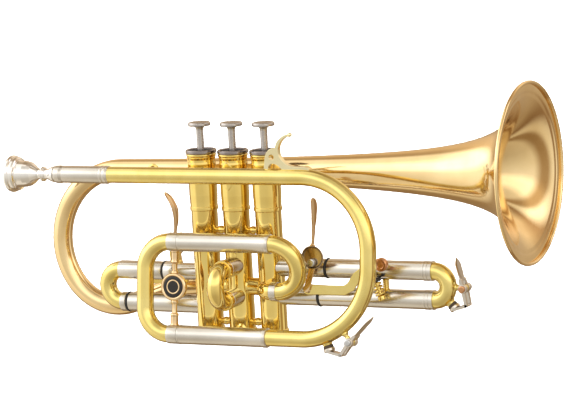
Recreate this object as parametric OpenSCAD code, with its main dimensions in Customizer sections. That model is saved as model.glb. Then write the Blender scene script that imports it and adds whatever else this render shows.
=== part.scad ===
// B-flat cornet with piston valves, two trigger-worked slides and two water keys.
// The bell points along +X, the valve buttons along +Z and the player's right side
// is -Y. The origin is on the middle valve's axis at the height of the bell's axis.

/* [Tubing] */
// Bore of the valve section
bore_d = 11.2; // [10.8:0.1:11.4]
// Wall of the drawn brass and nickel-silver tubes
tube_wall = 0.45; // [0.4:0.05:0.5]
// Radial gap between an inner slide tube and its sleeve
slide_gap = 0.05; // [0.02:0.01:0.08]
// Wall of the outer slide sleeves
sleeve_wall = 0.55; // [0.45:0.05:0.6]
// Outside diameter of the leadpipe and its front bow
leadpipe_d = 11.6; // [11.4:0.1:12]

/* [Bell] */
// Outside diameter of the bell at its rim
bell_d = 125; // [118:1:128]
// X of the bell's rim
bell_rim_x = 213; // [200:1:220]
// Exponent of the bell's flare
bell_flare = 0.62; // [0.6:0.01:0.66]
// Distance past the rim at which the flare would open without end
bell_reach = 9.8; // [9:0.2:12]
// Sheet thickness of the bell
bell_wall = 0.5; // [0.4:0.05:0.6]
// Y of the bell's axis
bell_y = 22; // [21.5:0.1:22.5]
// Diameter of the wire in the bell's rolled edge
bell_bead_d = 2.6; // [2:0.1:3.2]

/* [Valves] */
// Distance between neighbouring valve axes
valve_pitch = 25; // [25:0.1:25.4]
// Outside diameter of the lower casings
casing_d = 18.6; // [18.4:0.1:18.8]
// Diameter of the pistons
piston_d = 17; // [16.9:0.05:17]
// Radial gap between a piston and its casing
piston_gap = 0.05; // [0.02:0.01:0.08]
// Length of a piston's ported body
piston_length = 62; // [60:1:64]
// How far a valve goes down
valve_stroke = 16.5; // [14:0.5:16.5]
// Diameter of the finger buttons
button_d = 16; // [14:0.5:17]
// Diameter of the valve stems
stem_d = 4.8; // [4:0.2:5]
// Diameter of the top caps
top_cap_d = 21.9; // [21:0.1:22.4]

/* [Leadpipe and main slide] */
// Y of the leadpipe
leadpipe_y = -20; // [-20.5:0.1:-19.5]
// Z of the leadpipe
leadpipe_z = 2; // [1.5:0.1:2.4]
// Bend radius of the front bow
front_bow_r = 50; // [48:1:52]
// Y of the main slide's upper leg
main_upper_y = -24; // [-24.5:0.1:-23.8]
// Z of the main slide's upper leg
main_upper_z = -44.2; // [-44.6:0.1:-44]
// Y of the main slide's lower leg
main_lower_y = -33; // [-33.5:0.1:-32.5]
// Z of the main slide's lower leg
main_lower_z = -108.2; // [-108.6:0.1:-108]
// Length of the upper main slide sleeve
main_sleeve_l = 70.4; // [68:0.2:71]

/* [Valve slides] */
// Z of the first slide's upper leg
first_upper_z = -69.4; // [-69.6:0.1:-69.2]
// Z of the first slide's lower leg
first_lower_z = -92.6; // [-92.8:0.1:-92.4]
// Z of the second slide's upper leg
second_upper_z = -63.2; // [-63.4:0.1:-63]
// Z of the second slide's lower leg
second_lower_z = -85; // [-85.2:0.1:-84.8]
// Z of the third slide's upper leg
third_upper_z = -64.5; // [-64.6:0.1:-64.4]
// Z of the third slide's lower leg
third_lower_z = -84.5; // [-84.6:0.1:-84.4]
// X at which the third slide's bow begins
third_bow_x = 148; // [146:1:152]

/* [Triggers and water keys] */
// Length of the third slide trigger's lower arm
third_arm = 20; // [19.8:0.1:20.2]
// Angle of that arm behind the upright at rest
third_swing = 17.5; // [15:0.5:17.5]
// Length of the first slide trigger's lower arm
first_arm = 20; // [19.8:0.1:20.2]
// Angle of that arm ahead of the upright at rest
first_swing = 14.5; // [12:0.5:14.5]
// Radius of a water key's pivot barrel
key_barrel_r = 3.2; // [2.8:0.1:3.4]

/* [Hidden] */
$fn = 64;

// Tubes: inner tube (drawn tubing), sleeve around it, ferrule around both
bore_r = bore_d / 2;
tube_r = bore_r + tube_wall;
sleeve_in_r = tube_r + slide_gap;
sleeve_r = sleeve_in_r + sleeve_wall;
ring_r = sleeve_r + 0.3;
lead_r = leadpipe_d / 2;
lead_in_r = lead_r - 0.5;
rest_gap = 0.4;             // between a slide's moving and fixed ends when it is pushed in
fine = 0.01;

// Valves
casing_r = casing_d / 2;
casing_in_r = piston_d / 2 + piston_gap;
upper_casing_r = 10;        // wide top part that takes the spring barrel
upper_bore_r = 9;
casing_top_z = 13.1;
casing_step_z = -23.5;      // shoulder that carries the valve guide
casing_bottom_z = -111.5;
piston_top_z = -34.5;
piston_bottom_z = piston_top_z - piston_length;
barrel_r = 7.6;
barrel_in_r = 6.8;
barrel_top_z = 10.3;
guide_top_z = casing_step_z + 2;
stem_foot = 2.5;            // thickness of the disc that closes the spring barrel
button_z = 33.9;            // underside of a button
inlet_z = -78.8;            // height of the passage through the three valves
valve_x = [-valve_pitch, 0, valve_pitch];

// Main slide, in a plane that leans out from the upper leg to the lower one
main_drop = norm([main_lower_y - main_upper_y, main_lower_z - main_upper_z]);
main_tilt = asin((main_upper_y - main_lower_y) / main_drop);
main_corner_r = 19;
main_ferrule_x = -41.3;
main_gap_x = -32.6;         // open end of the sleeves
upper_sleeve_end = main_gap_x + main_sleeve_l;
lower_sleeve_end = upper_sleeve_end - 1.6;
main_end_ring_l = 3.4;
// Return bow behind it and the ferrule that takes it to the third valve
return_y = -17;
return_drop = norm([return_y - main_upper_y, inlet_z - main_upper_z]);
knuckle_r = -return_y - casing_r;
return_ferrule_x = valve_pitch + knuckle_r;
return_ferrule_l = upper_sleeve_end - return_ferrule_x;

// Front bow, which also drops from the leadpipe's plane to the main slide's
front_drop = norm([main_lower_y - leadpipe_y, main_lower_z - leadpipe_z]);
front_tilt = asin((main_lower_y - leadpipe_y) / front_drop);
front_side = front_drop - 2 * front_bow_r;
front_bow_x = 61.5;
leadpipe_x = -88;

// Bell and its crook
bell_r = bell_d / 2;
bell_end_x = -100.7;
crook_r = bell_r * pow(bell_reach / (bell_rim_x + bell_reach - bell_end_x), bell_flare);
// Bends of the crook: radius, and the sine of each angle after the first quarter turn
crook_top_r = 54;
crook_side_r = 50;
crook_side_sin = 0.6;
crook_foot_r = 40.5;
crook_foot_sin = 0.96;
crook_back_r = 40;
crook_back_sin = 0.352;
crook_back_cos = 0.936;
crook_port_z = -84;
crook_neck_l = 9;
crook_foot_z = -crook_top_r - crook_foot_r * crook_back_cos
    - (crook_side_r - crook_foot_r) * crook_side_sin;
crook_slope_l = (crook_port_z - crook_foot_z - crook_back_r * (1 - crook_back_cos))
    / crook_back_sin;
crook_level_x = bell_end_x - crook_top_r + (crook_side_r - 0.8 * crook_side_r)
    + crook_foot_r * (0.8 + crook_back_sin) + crook_slope_l * crook_back_cos
    + crook_back_r * crook_back_sin;
crook_elbow_r = bell_y - casing_r;

// First slide
first_ring_x = -58;         // outer end of the fixed ring on the upper leg
first_ring_l = 7;
bumper_w = 1.4;
bumper_r = 7.2;
first_bow_x = -94.8;
first_sleeve_x = -88.5;     // open end of the fixed lower sleeve
first_bow_r = (first_upper_z - first_lower_z) / 2;
first_inner_end = -88;
// Second slide
second_sleeve_y = -22;
second_bow_y = -27.1;
second_bow_r = (second_upper_z - second_lower_z) / 2;
// Third slide
third_upper_ring_x = 68.2;  // outer end of the fixed upper sleeve
third_lower_ring_x = 61.6;
third_ferrule_l = 6.7;
third_bow_r = (third_upper_z - third_lower_z) / 2;
third_inner_end = 136;

// Trigger pivots, in X and Z, and the planes in Y that their parts keep to
first_pivot = [-54, -57];
third_pivot = [62.3, -58.6];
post_y = [4.4, 8.6];
lever_y = [8.95, 10.75];
link_y = [7.1, 8.6];
pivot_r = 1.5;
slot_gap = 0.45;
spring_l = 2;               // torsion springs of the levers
spring_gap = 0.35;
screw_head_y = lever_y[1] + spring_gap + spring_l + 1;
hub_r = 3.6;
third_boss = [114, -59.4];

// Water keys: pivot barrels stand off their bows
third_key_at = [third_bow_x, (third_upper_z + third_lower_z) / 2];
third_key_angle = -3;
third_nipple_angle = -46;
third_barrel_out = third_bow_r + tube_r + 6;
front_key_angle = -54;      // angles are from +X towards +Z in the bow's own plane
front_nipple_angle = -69.5;
front_barrel_out = front_bow_r + lead_r + 7;
nipple_h = 1.4;
cork_t = 2;
key_w = 5;

// ---------- shapes that repeat ----------

module ring2d(r_out, r_in) {
    difference() {
        circle(r_out);
        circle(r_in);
    }
}

// Straight tube along +X from x0 to x1
module tube_x(x0, x1, y, z, r_out, r_in) {
    translate([x0, y, z])
        rotate([0, 90, 0])
            linear_extrude(x1 - x0)
                ring2d(r_out, r_in);
}

// Straight tube along -Y from y0 to y1
module tube_y(y0, y1, x, z, r_out, r_in) {
    translate([x, y0, z])
        rotate([90, 0, 0])
            linear_extrude(y0 - y1)
                ring2d(r_out, r_in);
}

// Bend of radius r in the plane of the circle it turns in
module bend(r, angle, r_out, r_in) {
    difference() {
        rotate_extrude(angle = angle > 90 ? 180 : 90)
            translate([r, 0]) ring2d(r_out, r_in);
        if (angle % 90 != 0)
            rotate([0, 0, angle]) translate([-2 * r, 0, -r]) cube([4 * r, 2 * r, 2 * r]);
    }
}

// Tube that heads along +X and bends towards -Z. Each step of the bending
// schedule is [straight length, bend radius, bend angle, roll before the bend].
// Children are placed at the far end.
module bent_tube(steps, r_out, r_in, i = 0) {
    if (i == len(steps)) {
        children();
    } else {
        step = steps[i];
        if (step[0] > 0) tube_x(0, step[0], 0, 0, r_out, r_in);
        translate([step[0], 0, 0]) rotate([step[3], 0, 0]) {
            if (step[2] > 0)
                translate([0, 0, -step[1]])
                    rotate([0, -90, -90])
                        bend(step[1], step[2], r_out, r_in);
            translate([step[1] * sin(step[2]), 0, -step[1] * (1 - cos(step[2]))])
                rotate([0, step[2], 0])
                    bent_tube(steps, r_out, r_in, i + 1) children();
        }
    }
}

// Extrudes an outline drawn in X and Z over a stretch of Y
module slab(y_range) {
    low = min(y_range);
    high = max(y_range);
    translate([0, high, 0])
        rotate([90, 0, 0])
            linear_extrude(high - low)
                children();
}

// Bar with round ends from point a to point b
module bar2d(a, b, w) {
    translate(a) {
        rotate(atan2(b[1] - a[1], b[0] - a[0]))
            translate([0, -w / 2]) square([norm(b - a), w]);
        circle(w / 2);
    }
    translate(b) circle(w / 2);
}

// Curved strip around centre c, in X and Z, from angle a0 to a1
module arc_strip(c, r, t, y_range, a0, a1) {
    translate([c[0], 0, c[1]])
        rotate([90, 0, 0])
            rotate([0, 0, a0])
                rotate_extrude(angle = a1 - a0)
                    translate([r - t / 2, -max(y_range)]) square([t, max(y_range) - min(y_range)]);
}

// Solid turned about the X axis from [x, r] points
module turned_x(points) {
    rotate([90, 0, 90])
        rotate_extrude()
            polygon([for (p = points) [p[1], p[0]]]);
}

// Coil of round wire along +Z
module coil(r, wire_r, length, turns, per_turn = 16, sides = 6) {
    n = turns * per_turn;
    rise = length - 2 * wire_r;
    points = [for (i = [0:n]) for (k = [0:sides - 1])
        let (a = 360 * turns * i / n, b = 360 * k / sides, q = r + wire_r * cos(b))
            [q * cos(a), q * sin(a), wire_r + rise * i / n + wire_r * sin(b)]];
    walls = [for (i = [0:n - 1]) for (k = [0:sides - 1])
        let (k2 = (k + 1) % sides)
            [i * sides + k, (i + 1) * sides + k, (i + 1) * sides + k2, i * sides + k2]];
    first_end = [for (k = [0:sides - 1]) k];
    last_end = [for (k = [sides - 1:-1:0]) n * sides + k];
    polyhedron(points, concat(walls, [first_end, last_end]));
}

module casing_envelope(i, r = casing_r) {
    translate([valve_x[i], 0, casing_bottom_z - 1]) cylinder(r = r, h = -casing_bottom_z);
}

// ---------- leadpipe side ----------

module receiver() {
    color("lightgray") translate([0, leadpipe_y, leadpipe_z]) turned_x([
        [-132, 5.06], [-132, 5.9], [-130.5, 6.35], [-127, 6.35], [-125.4, 6],
        [-125, 6.2], [-94.5, 6.2], [-94.3, 6.5], [-92.4, 6.5], [-92.2, 6.2], [-91.4, 6.2],
        [-91.2, 6.5], [-89.3, 6.5], [leadpipe_x, 6], [leadpipe_x, lead_in_r],
        [-106, lead_in_r], [-107, 4.64]
    ]);
}

module leadpipe() {
    color("gold") translate([leadpipe_x, leadpipe_y, leadpipe_z])
        rotate([front_tilt, 0, 0])
            bent_tube([
                [front_bow_x - leadpipe_x, front_bow_r, 90, 0],
                [front_side, front_bow_r, 90, 0],
                [front_bow_x - lower_sleeve_end, 0, 0, 0]
            ], lead_r, lead_in_r);
    color("gold") front_key_frame() key_nipple(front_bow_r + lead_r, front_nipple_angle);
}

module main_sleeve(x1, y, z) {
    tube_x(main_gap_x, x1 - main_end_ring_l, y, z, sleeve_r, sleeve_in_r);
    tube_x(x1 - main_end_ring_l, x1, y, z, ring_r, lead_in_r);
    tube_x(main_gap_x, main_gap_x + 0.8, y, z, sleeve_r + 0.15, sleeve_r);
}

// The main slide's two outer sleeves, and the ferrule at the return bow's other end
module main_sleeves() {
    color("lightgray") {
        main_sleeve(upper_sleeve_end, main_upper_y, main_upper_z);
        main_sleeve(lower_sleeve_end, main_lower_y, main_lower_z);
        tube_x(return_ferrule_x, return_ferrule_x + return_ferrule_l, return_y, inlet_z,
            tube_r + 0.4, bore_r);
    }
}

module return_bow() {
    color("gold") translate([upper_sleeve_end, main_upper_y, main_upper_z])
        rotate([asin((return_y - main_upper_y) / return_drop), 0, 0])
            bent_tube([[0, return_drop / 2, 180, 0]], tube_r, bore_r);
}

module inlet_knuckle() {
    color("gold") difference() {
        translate([return_ferrule_x, return_y, inlet_z])
            rotate([0, 0, 180])
                bent_tube([[0, knuckle_r, 90, 90], [3, 0, 0, 0]], tube_r, bore_r);
        casing_envelope(2);
    }
}

// ---------- valves ----------

module casing_ports(i) {
    if (i == 0) {
        for (z = [first_upper_z, first_lower_z])
            translate([valve_x[i] - casing_r - 1, 0, z]) rotate([0, 90, 0])
                cylinder(r = bore_r, h = casing_r);
        translate([valve_x[i], casing_r + 1, crook_port_z]) rotate([90, 0, 0])
            cylinder(r = bore_r, h = casing_r);
    }
    if (i == 1)
        for (z = [second_upper_z, second_lower_z])
            translate([valve_x[i], 0, z]) rotate([90, 0, 0])
                cylinder(r = bore_r, h = casing_r + 1);
    if (i == 2) {
        for (z = [third_upper_z, third_lower_z])
            translate([valve_x[i], 0, z]) rotate([0, 90, 0])
                cylinder(r = bore_r, h = casing_r + 1);
        translate([valve_x[i], 0, inlet_z]) rotate([90, 0, 0])
            cylinder(r = bore_r, h = casing_r + 1);
    }
    // passages to the neighbouring valves
    if (i > 0)
        translate([valve_x[i] - casing_r - 1, 0, inlet_z]) rotate([0, 90, 0])
            cylinder(r = bore_r, h = casing_r);
    if (i < 2)
        translate([valve_x[i], 0, inlet_z]) rotate([0, 90, 0])
            cylinder(r = bore_r, h = casing_r + 1);
}

module valve_casing(i) {
    color("goldenrod") difference() {
        translate([valve_x[i], 0, 0]) rotate_extrude() polygon([
            [casing_in_r, casing_bottom_z], [10, casing_bottom_z], [10, casing_bottom_z + 3],
            [casing_r, casing_bottom_z + 3], [casing_r, casing_step_z - 1.2],
            [upper_casing_r, casing_step_z - 0.4], [upper_casing_r, casing_step_z + 1.2],
            [upper_casing_r - 0.3, casing_step_z + 1.6], [upper_casing_r, -14],
            [upper_casing_r, 9], [9.7, casing_top_z - 1.2],
            [10.2, casing_top_z - 1.1], [10.2, casing_top_z], [upper_bore_r, casing_top_z],
            [upper_bore_r, casing_step_z], [casing_in_r, casing_step_z]
        ]);
        casing_ports(i);
    }
}

module casing_connectors() {
    color("goldenrod") for (i = [0, 1]) difference() {
        tube_x(valve_x[i] + 6, valve_x[i + 1] - 6, 0, inlet_z, tube_r, bore_r);
        casing_envelope(i);
        casing_envelope(i + 1);
    }
}

module casing_braces() {
    color("goldenrod") for (i = [0, 1]) for (z = [-39, -104]) difference() {
        translate([(valve_x[i] + valve_x[i + 1]) / 2, 0, z]) {
            sphere(r = 3);
            rotate([0, 90, 0]) cylinder(r = 1.9, h = valve_pitch - 12, center = true);
        }
        casing_envelope(i);
        casing_envelope(i + 1);
    }
}

module top_caps() {
    rim_r = top_cap_d / 2;
    floor_z = casing_top_z + 1.5;
    color("silver") for (x = valve_x) translate([x, 0, 0]) rotate_extrude() polygon([
        [stem_d / 2 + 0.25, casing_top_z], [8, casing_top_z], [8, casing_top_z - 4],
        [upper_bore_r - fine, casing_top_z - 4], [upper_bore_r - fine, casing_top_z],
        [9.8, casing_top_z], [10.2, casing_top_z + 1], [rim_r, casing_top_z + 2],
        [rim_r, casing_top_z + 4.2], [rim_r - 0.6, casing_top_z + 4.9],
        [rim_r - 1.6, casing_top_z + 4.9], [rim_r - 2, casing_top_z + 4.5], [rim_r - 2, floor_z],
        [stem_d / 2 + 0.25, floor_z]
    ]);
}

// A thick washer in the recess of each cap and a thin one under it
module cap_felts() {
    color("#202020") for (x = valve_x) translate([x, 0, 0]) {
        translate([0, 0, casing_top_z + 1.5])
            linear_extrude(2.5) ring2d(top_cap_d / 2 - 2.1, stem_d / 2 + 0.35);
        translate([0, 0, barrel_top_z + 0.4])
            linear_extrude(casing_top_z - barrel_top_z - 0.4) ring2d(7.5, stem_d / 2 + 0.35);
    }
}

module bottom_caps() {
    color("silver") for (x = valve_x) translate([x, 0, casing_bottom_z]) rotate_extrude()
        polygon([
            [0, -7], [5, -7], [5, -6], [9.4, -6], [10.3, -5.2], [10.3, 0], [casing_in_r, 0],
            [casing_in_r, -4.5], [0, -4.5]
        ]);
}

// The plate that a spring stands on, with two lugs that stop the valve turning
module valve_guides() {
    color("ivory") for (x = valve_x) translate([x, 0, casing_step_z]) intersection() {
        union() {
            cylinder(r = barrel_in_r - 0.3, h = 2);
            translate([-upper_bore_r, -2, 0]) cube([2 * upper_bore_r, 4, 2]);
        }
        cylinder(r = upper_bore_r - 0.02, h = 2);
    }
}

module piston(i) {
    passage_z = [inlet_z, inlet_z + 17, inlet_z + 33];
    turn = [0, 60, -60];
    color("lightgray") translate([valve_x[i], 0, 0]) difference() {
        union() {
            difference() {
                union() {
                    translate([0, 0, piston_bottom_z]) cylinder(r = piston_d / 2, h = piston_length);
                    translate([0, 0, piston_top_z]) cylinder(r = barrel_r, h = barrel_top_z - piston_top_z);
                }
                translate([0, 0, piston_bottom_z + 1])
                    cylinder(r = piston_d / 2 - 0.9, h = piston_length - 3);
                translate([0, 0, piston_top_z - 1])
                    cylinder(r = barrel_in_r, h = barrel_top_z - piston_top_z + 2);
            }
            intersection() {
                for (k = [0:2]) translate([0, 0, passage_z[k]]) rotate([90, 0, turn[k]])
                    cylinder(r = bore_r + 0.6, h = piston_d, center = true);
                translate([0, 0, piston_bottom_z]) cylinder(r = piston_d / 2, h = piston_length);
            }
        }
        for (k = [0:2]) translate([0, 0, passage_z[k]]) rotate([90, 0, turn[k]])
            cylinder(r = bore_r, h = piston_d + 2, center = true);
        // slots that the guide's lugs stand in while the barrel moves down
        translate([-barrel_r - 1, -2.3, casing_step_z - 0.4])
            cube([2 * barrel_r + 2, 4.6, valve_stroke + 3]);
    }
}

module stem(i) {
    color("lightgray") translate([valve_x[i], 0, barrel_top_z - stem_foot]) {
        cylinder(r = barrel_in_r, h = stem_foot);
        cylinder(r = stem_d / 2, h = button_z - barrel_top_z + stem_foot);
    }
}

module button(i) {
    r = button_d / 2;
    color("silver") translate([valve_x[i], 0, button_z]) rotate_extrude() polygon([
        [0, 0], [r - 0.7, 0], [r, 0.6], [r, 1.5], [r - 0.6, 2.2], [r - 1.8, 2.4],
        [r - 2.1, 2.8], [3, 3.3], [0, 3.4]
    ]);
}

module valve_spring(i) {
    color("silver") translate([valve_x[i], 0, guide_top_z])
        coil(5.6, 0.5, barrel_top_z - stem_foot - guide_top_z, 7);
}

// ---------- bell ----------

function bell_radius(x) = bell_r * pow(bell_reach / (bell_rim_x + bell_reach - x), bell_flare);
function bell_slope(x) = bell_flare * bell_radius(x) / (bell_rim_x + bell_reach - x);
function bell_inner(x) =
    let (s = bell_slope(x), n = norm([s, 1]))
        [x + bell_wall * s / n, bell_radius(x) - bell_wall / n];

module bell() {
    // stations crowd together where the flare opens
    n = 34;
    stations = [for (i = [0:n])
        bell_rim_x - (bell_rim_x - bell_end_x) * pow(1 - i / n, 2.2)];
    outer = [for (x = stations) [x, bell_radius(x)]];
    inner = [for (i = [n:-1:1]) bell_inner(stations[i])];
    color("#d9a05c") translate([0, bell_y, 0]) {
        turned_x(concat(outer, inner, [[bell_end_x, crook_r - bell_wall]]));
        rotate([0, 90, 0]) rotate_extrude()
            translate([bell_r - bell_bead_d / 2, bell_rim_x - bell_bead_d / 2 + 0.4])
                circle(d = bell_bead_d, $fn = 32);
    }
}

module bell_crook() {
    neck_end = valve_x[0] - crook_elbow_r - crook_level_x;
    color("#d9a05c") difference() {
        translate([bell_end_x, bell_y, 0]) rotate([0, 0, 180])
            bent_tube([
                [0, crook_top_r, 90, 0],
                [0, crook_side_r, asin(crook_side_sin), 0],
                [0, crook_foot_r, asin(crook_foot_sin), 0],
                [crook_slope_l, crook_back_r, asin(crook_back_sin), 180]
            ], crook_r, crook_r - bell_wall) {
                turned_x([
                    [0, crook_r], [crook_neck_l, tube_r],
                    [neck_end, tube_r], [neck_end, tube_r - bell_wall],
                    [crook_neck_l, tube_r - bell_wall], [0, crook_r - bell_wall]
                ]);
                translate([neck_end, 0, 0])
                    bent_tube([[0, crook_elbow_r, 90, -90], [3, 0, 0, 0]],
                        tube_r, tube_r - bell_wall);
            }
        casing_envelope(0);
    }
}

// A turned post along Y with a bead at its middle and a round foot at each end
module round_post(x, z, y0, y1, r) {
    translate([x, y0, z]) rotate([-90, 0, 0]) {
        cylinder(r = r, h = y1 - y0);
        translate([0, 0, (y1 - y0) / 2]) sphere(r = r * 1.45);
        cylinder(r = r * 2, h = 2.4);
        translate([0, 0, y1 - y0 - 2.4]) cylinder(r = r * 2, h = 2.4);
    }
}

// The space that the bell takes up around x
module bell_space(x) {
    translate([0, bell_y, 0]) turned_x([
        [x - 10, 0], [x - 10, bell_radius(x - 10)], [x, bell_radius(x) + 0.01],
        [x + 10, bell_radius(x + 10)], [x + 10, 0]
    ]);
}

module bell_braces() {
    color("goldenrod") {
        for (x = [-72, 51]) difference() {
            round_post(x, leadpipe_z / 2, leadpipe_y + lead_r - 0.8, bell_y - bell_radius(x) + 0.9, 2.2);
            tube_x(x - 10, x + 10, leadpipe_y, leadpipe_z, lead_r, 0);
            bell_space(x);
        }
        for (i = [0, 2]) difference() {
            translate([valve_x[i], 8, -3]) rotate([-90, 0, 0]) cylinder(r = 3.4, h = 8);
            translate([valve_x[i], 0, -20]) cylinder(r = upper_casing_r + fine, h = 30);
            bell_space(valve_x[i]);
        }
    }
}

// ---------- braces and finger hook ----------

module pipe_braces() {
    flange_z = 0.6;
    flange_h = 10.4;
    flange_w = 5.2;
    flange_r = (flange_h * flange_h + flange_w * flange_w) / (2 * flange_w);
    plate_r = upper_casing_r + 0.8;
    saddle_r = casing_r + 0.8;
    color("goldenrod") {
        // pointed plate on the middle casing, and its post to the leadpipe
        difference() {
            union() {
                intersection() {
                    translate([0, 0, flange_z - flange_h]) cylinder(r = plate_r, h = 2 * flange_h);
                    slab([-plate_r - 1, -6]) translate([0, flange_z]) intersection() {
                        translate([flange_r - flange_w, 0]) circle(flange_r);
                        translate([flange_w - flange_r, 0]) circle(flange_r);
                    }
                }
                translate([0, leadpipe_y + 4, leadpipe_z - 0.6]) rotate([-90, 0, 0])
                    cylinder(r = 3, h = 8);
            }
            translate([0, 0, -20]) cylinder(r = upper_casing_r + fine, h = 40);
            tube_x(-10, 10, leadpipe_y, leadpipe_z, lead_r, 0);
        }
        // posts from the middle casing to the two main slide sleeves
        for (leg = [[main_upper_y, main_upper_z], [main_lower_y, main_lower_z]]) difference() {
            union() {
                round_post(3, leg[1], leg[0] + sleeve_r - 1.5, -6.5, 2.2);
                translate([0, 0, min(leg[1] + 6, -37) - 11]) intersection() {
                    cylinder(r = saddle_r, h = 11);
                    translate([-4, -12, 0]) cube([13, 8, 11]);
                }
            }
            casing_envelope(1);
            translate([0, 0, casing_bottom_z]) cylinder(r = 10.2, h = 3.2);
            translate([-20, -20, casing_bottom_z - 9.8]) cube([40, 40, 10]);
            tube_x(-10, 20, leg[0], leg[1], sleeve_r, 0);
        }
    }
}

module finger_hook() {
    hook_c = [55, 20.2];
    hook_r = 11.2;
    foot_z = leadpipe_z + lead_r;
    color("gold") difference() {
        slab([leadpipe_y - 3, leadpipe_y + 3]) {
            // C-shaped hook, open towards the bell
            difference() {
                translate(hook_c) ring2d(hook_r + 1.4, hook_r - 1.4);
                translate(hook_c) square([hook_r + 2, 2 * hook_r]);
                translate(hook_c + [0, -hook_r - 2]) square([hook_r + 2, hook_r + 4]);
            }
            translate(hook_c + [0, hook_r]) circle(1.9);
            // web with its hole, down to the foot
            difference() {
                polygon([
                    [34.4, foot_z - 1], [35.6, foot_z + 3.6], [38.2, foot_z + 9.4],
                    [42, foot_z + 14], [45.2, foot_z + 13], [46, foot_z + 6], [51, foot_z - 1]
                ]);
                translate([40.6, foot_z + 8.4]) circle(1.4, $fn = 24);
                translate([41.2, foot_z - 0.4]) circle(3.6, $fn = 32);
            }
            bar2d([46, foot_z + 0.2], [61, foot_z + 0.2], 2.2);
        }
        tube_x(20, front_bow_x + 2, leadpipe_y, leadpipe_z, lead_r, 0);
    }
}

// ---------- fixed slide tubes and bumpers ----------

module slide_port_tubes() {
    color("lightgray") {
        difference() {
            union() {
                tube_x(first_inner_end, -28, 0, first_upper_z, tube_r, bore_r);
                tube_x(first_ring_x, first_ring_x + first_ring_l, 0, first_upper_z, ring_r, tube_r);
            }
            casing_envelope(0);
        }
        difference() {
            tube_x(first_sleeve_x, -28, 0, first_lower_z, sleeve_r, sleeve_in_r);
            casing_envelope(0);
        }
        for (z = [second_upper_z, second_lower_z]) difference() {
            tube_y(-3, second_sleeve_y, 0, z, sleeve_r, sleeve_in_r);
            casing_envelope(1);
        }
        for (leg = [[third_upper_z, third_upper_ring_x], [third_lower_z, third_lower_ring_x]])
            difference() {
                union() {
                    tube_x(28, third_inner_end, 0, leg[0], tube_r, bore_r);
                    tube_x(28, leg[1], 0, leg[0], sleeve_r, tube_r);
                }
                casing_envelope(2);
            }
    }
}

module slide_bumpers() {
    color("#101010") {
        tube_x(first_ring_x - bumper_w, first_ring_x, 0, first_upper_z, bumper_r, tube_r);
        tube_x(first_sleeve_x - bumper_w, first_sleeve_x, 0, first_lower_z, bumper_r, sleeve_in_r);
        tube_x(third_upper_ring_x, third_upper_ring_x + bumper_w, 0, third_upper_z, bumper_r, tube_r);
        tube_x(third_lower_ring_x, third_lower_ring_x + bumper_w, 0, third_lower_z, bumper_r, tube_r);
    }
}

// ---------- main slide ----------

module main_slide_frame() {
    translate([0, main_upper_y, main_upper_z]) rotate([-main_tilt, 0, 0]) children();
}

module main_slide_bow() {
    color("gold") main_slide_frame() translate([main_ferrule_x, 0, 0]) rotate([0, 0, 180])
        bent_tube([
            [0, main_corner_r, 90, 0],
            [main_drop - 2 * main_corner_r, main_corner_r, 90, 0]
        ], tube_r, bore_r);
}

module main_slide_leg(inner_end, y, z) {
    ferrule_end = main_gap_x - rest_gap;
    tube_x(main_ferrule_x, ferrule_end, y, z, sleeve_r, bore_r);
    tube_x(ferrule_end, inner_end, y, z, tube_r, bore_r);
}

module main_slide_legs() {
    color("lightgray") {
        main_slide_leg(upper_sleeve_end - main_end_ring_l - 1, main_upper_y, main_upper_z);
        main_slide_leg(lower_sleeve_end - main_end_ring_l - 1, main_lower_y, main_lower_z);
    }
}

brace_x = -37;              // the upright between the slide's two ferrules
badge_drop = main_drop * 0.485;
badge_r = 9.7;
badge_y = [-2.9, 1.1];      // front and back of the badge, measured from the slide's plane

// Upright with beads and sockets, and the ring that carries the badge
module main_slide_brace() {
    socket_l = 6;
    color("gold") difference() {
        main_slide_frame() {
            for (part = [[sleeve_r - 0.5, badge_drop - badge_r + 1],
                    [badge_drop + badge_r - 1, main_drop - sleeve_r + 0.5]])
                translate([brace_x, 0, -part[1]]) cylinder(r = 1.9, h = part[1] - part[0]);
            for (z = [-sleeve_r - socket_l, sleeve_r - main_drop - 0.6])
                translate([brace_x, 0, z]) cylinder(r = 2.9, h = socket_l + 0.6);
            for (z = [-sleeve_r - socket_l - 1.4, sleeve_r - main_drop + socket_l + 1.4])
                translate([brace_x, 0, z]) sphere(r = 2.7);
            translate([0, 0, -badge_drop]) {
                slab(badge_y) translate([brace_x, 0]) ring2d(badge_r, badge_r - 2.2);
                slab([badge_y[0] + 1.4, badge_y[1]]) translate([brace_x, 0]) circle(badge_r - 1);
            }
        }
        tube_x(-50, -10, main_upper_y, main_upper_z, sleeve_r, 0);
        tube_x(-50, -10, main_lower_y, main_lower_z, sleeve_r, 0);
    }
}

module badge() {
    color("#15120f") main_slide_frame() translate([brace_x, 0, -badge_drop])
        slab([badge_y[0] + 0.2, badge_y[0] + 1.4]) circle(badge_r - 2.2);
}

// ---------- first slide and its trigger ----------

module first_slide_bow() {
    color("gold") translate([first_bow_x, 0, first_upper_z]) rotate([0, 0, 180])
        bent_tube([[0, first_bow_r, 180, 0]], tube_r, bore_r);
}

module first_slide_legs() {
    sleeve_end = first_ring_x - bumper_w - rest_gap;
    ferrule_end = first_sleeve_x - bumper_w - rest_gap;
    color("lightgray") {
        tube_x(first_bow_x, sleeve_end, 0, first_upper_z, sleeve_r, sleeve_in_r);
        tube_x(first_bow_x, first_bow_x + 3, 0, first_upper_z, sleeve_in_r, bore_r);
        tube_x(first_bow_x, ferrule_end, 0, first_lower_z, ring_r, bore_r);
        tube_x(ferrule_end, -44, 0, first_lower_z, tube_r, bore_r);
    }
}

// Upright slot for a trigger's pin: tall enough for the pin's arc
module pin_slot(at, arm, swing) {
    lift = arm * (1 - cos(swing));
    bar2d(at, at - [0, lift], 2 * (pivot_r + slot_gap));
}

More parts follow.
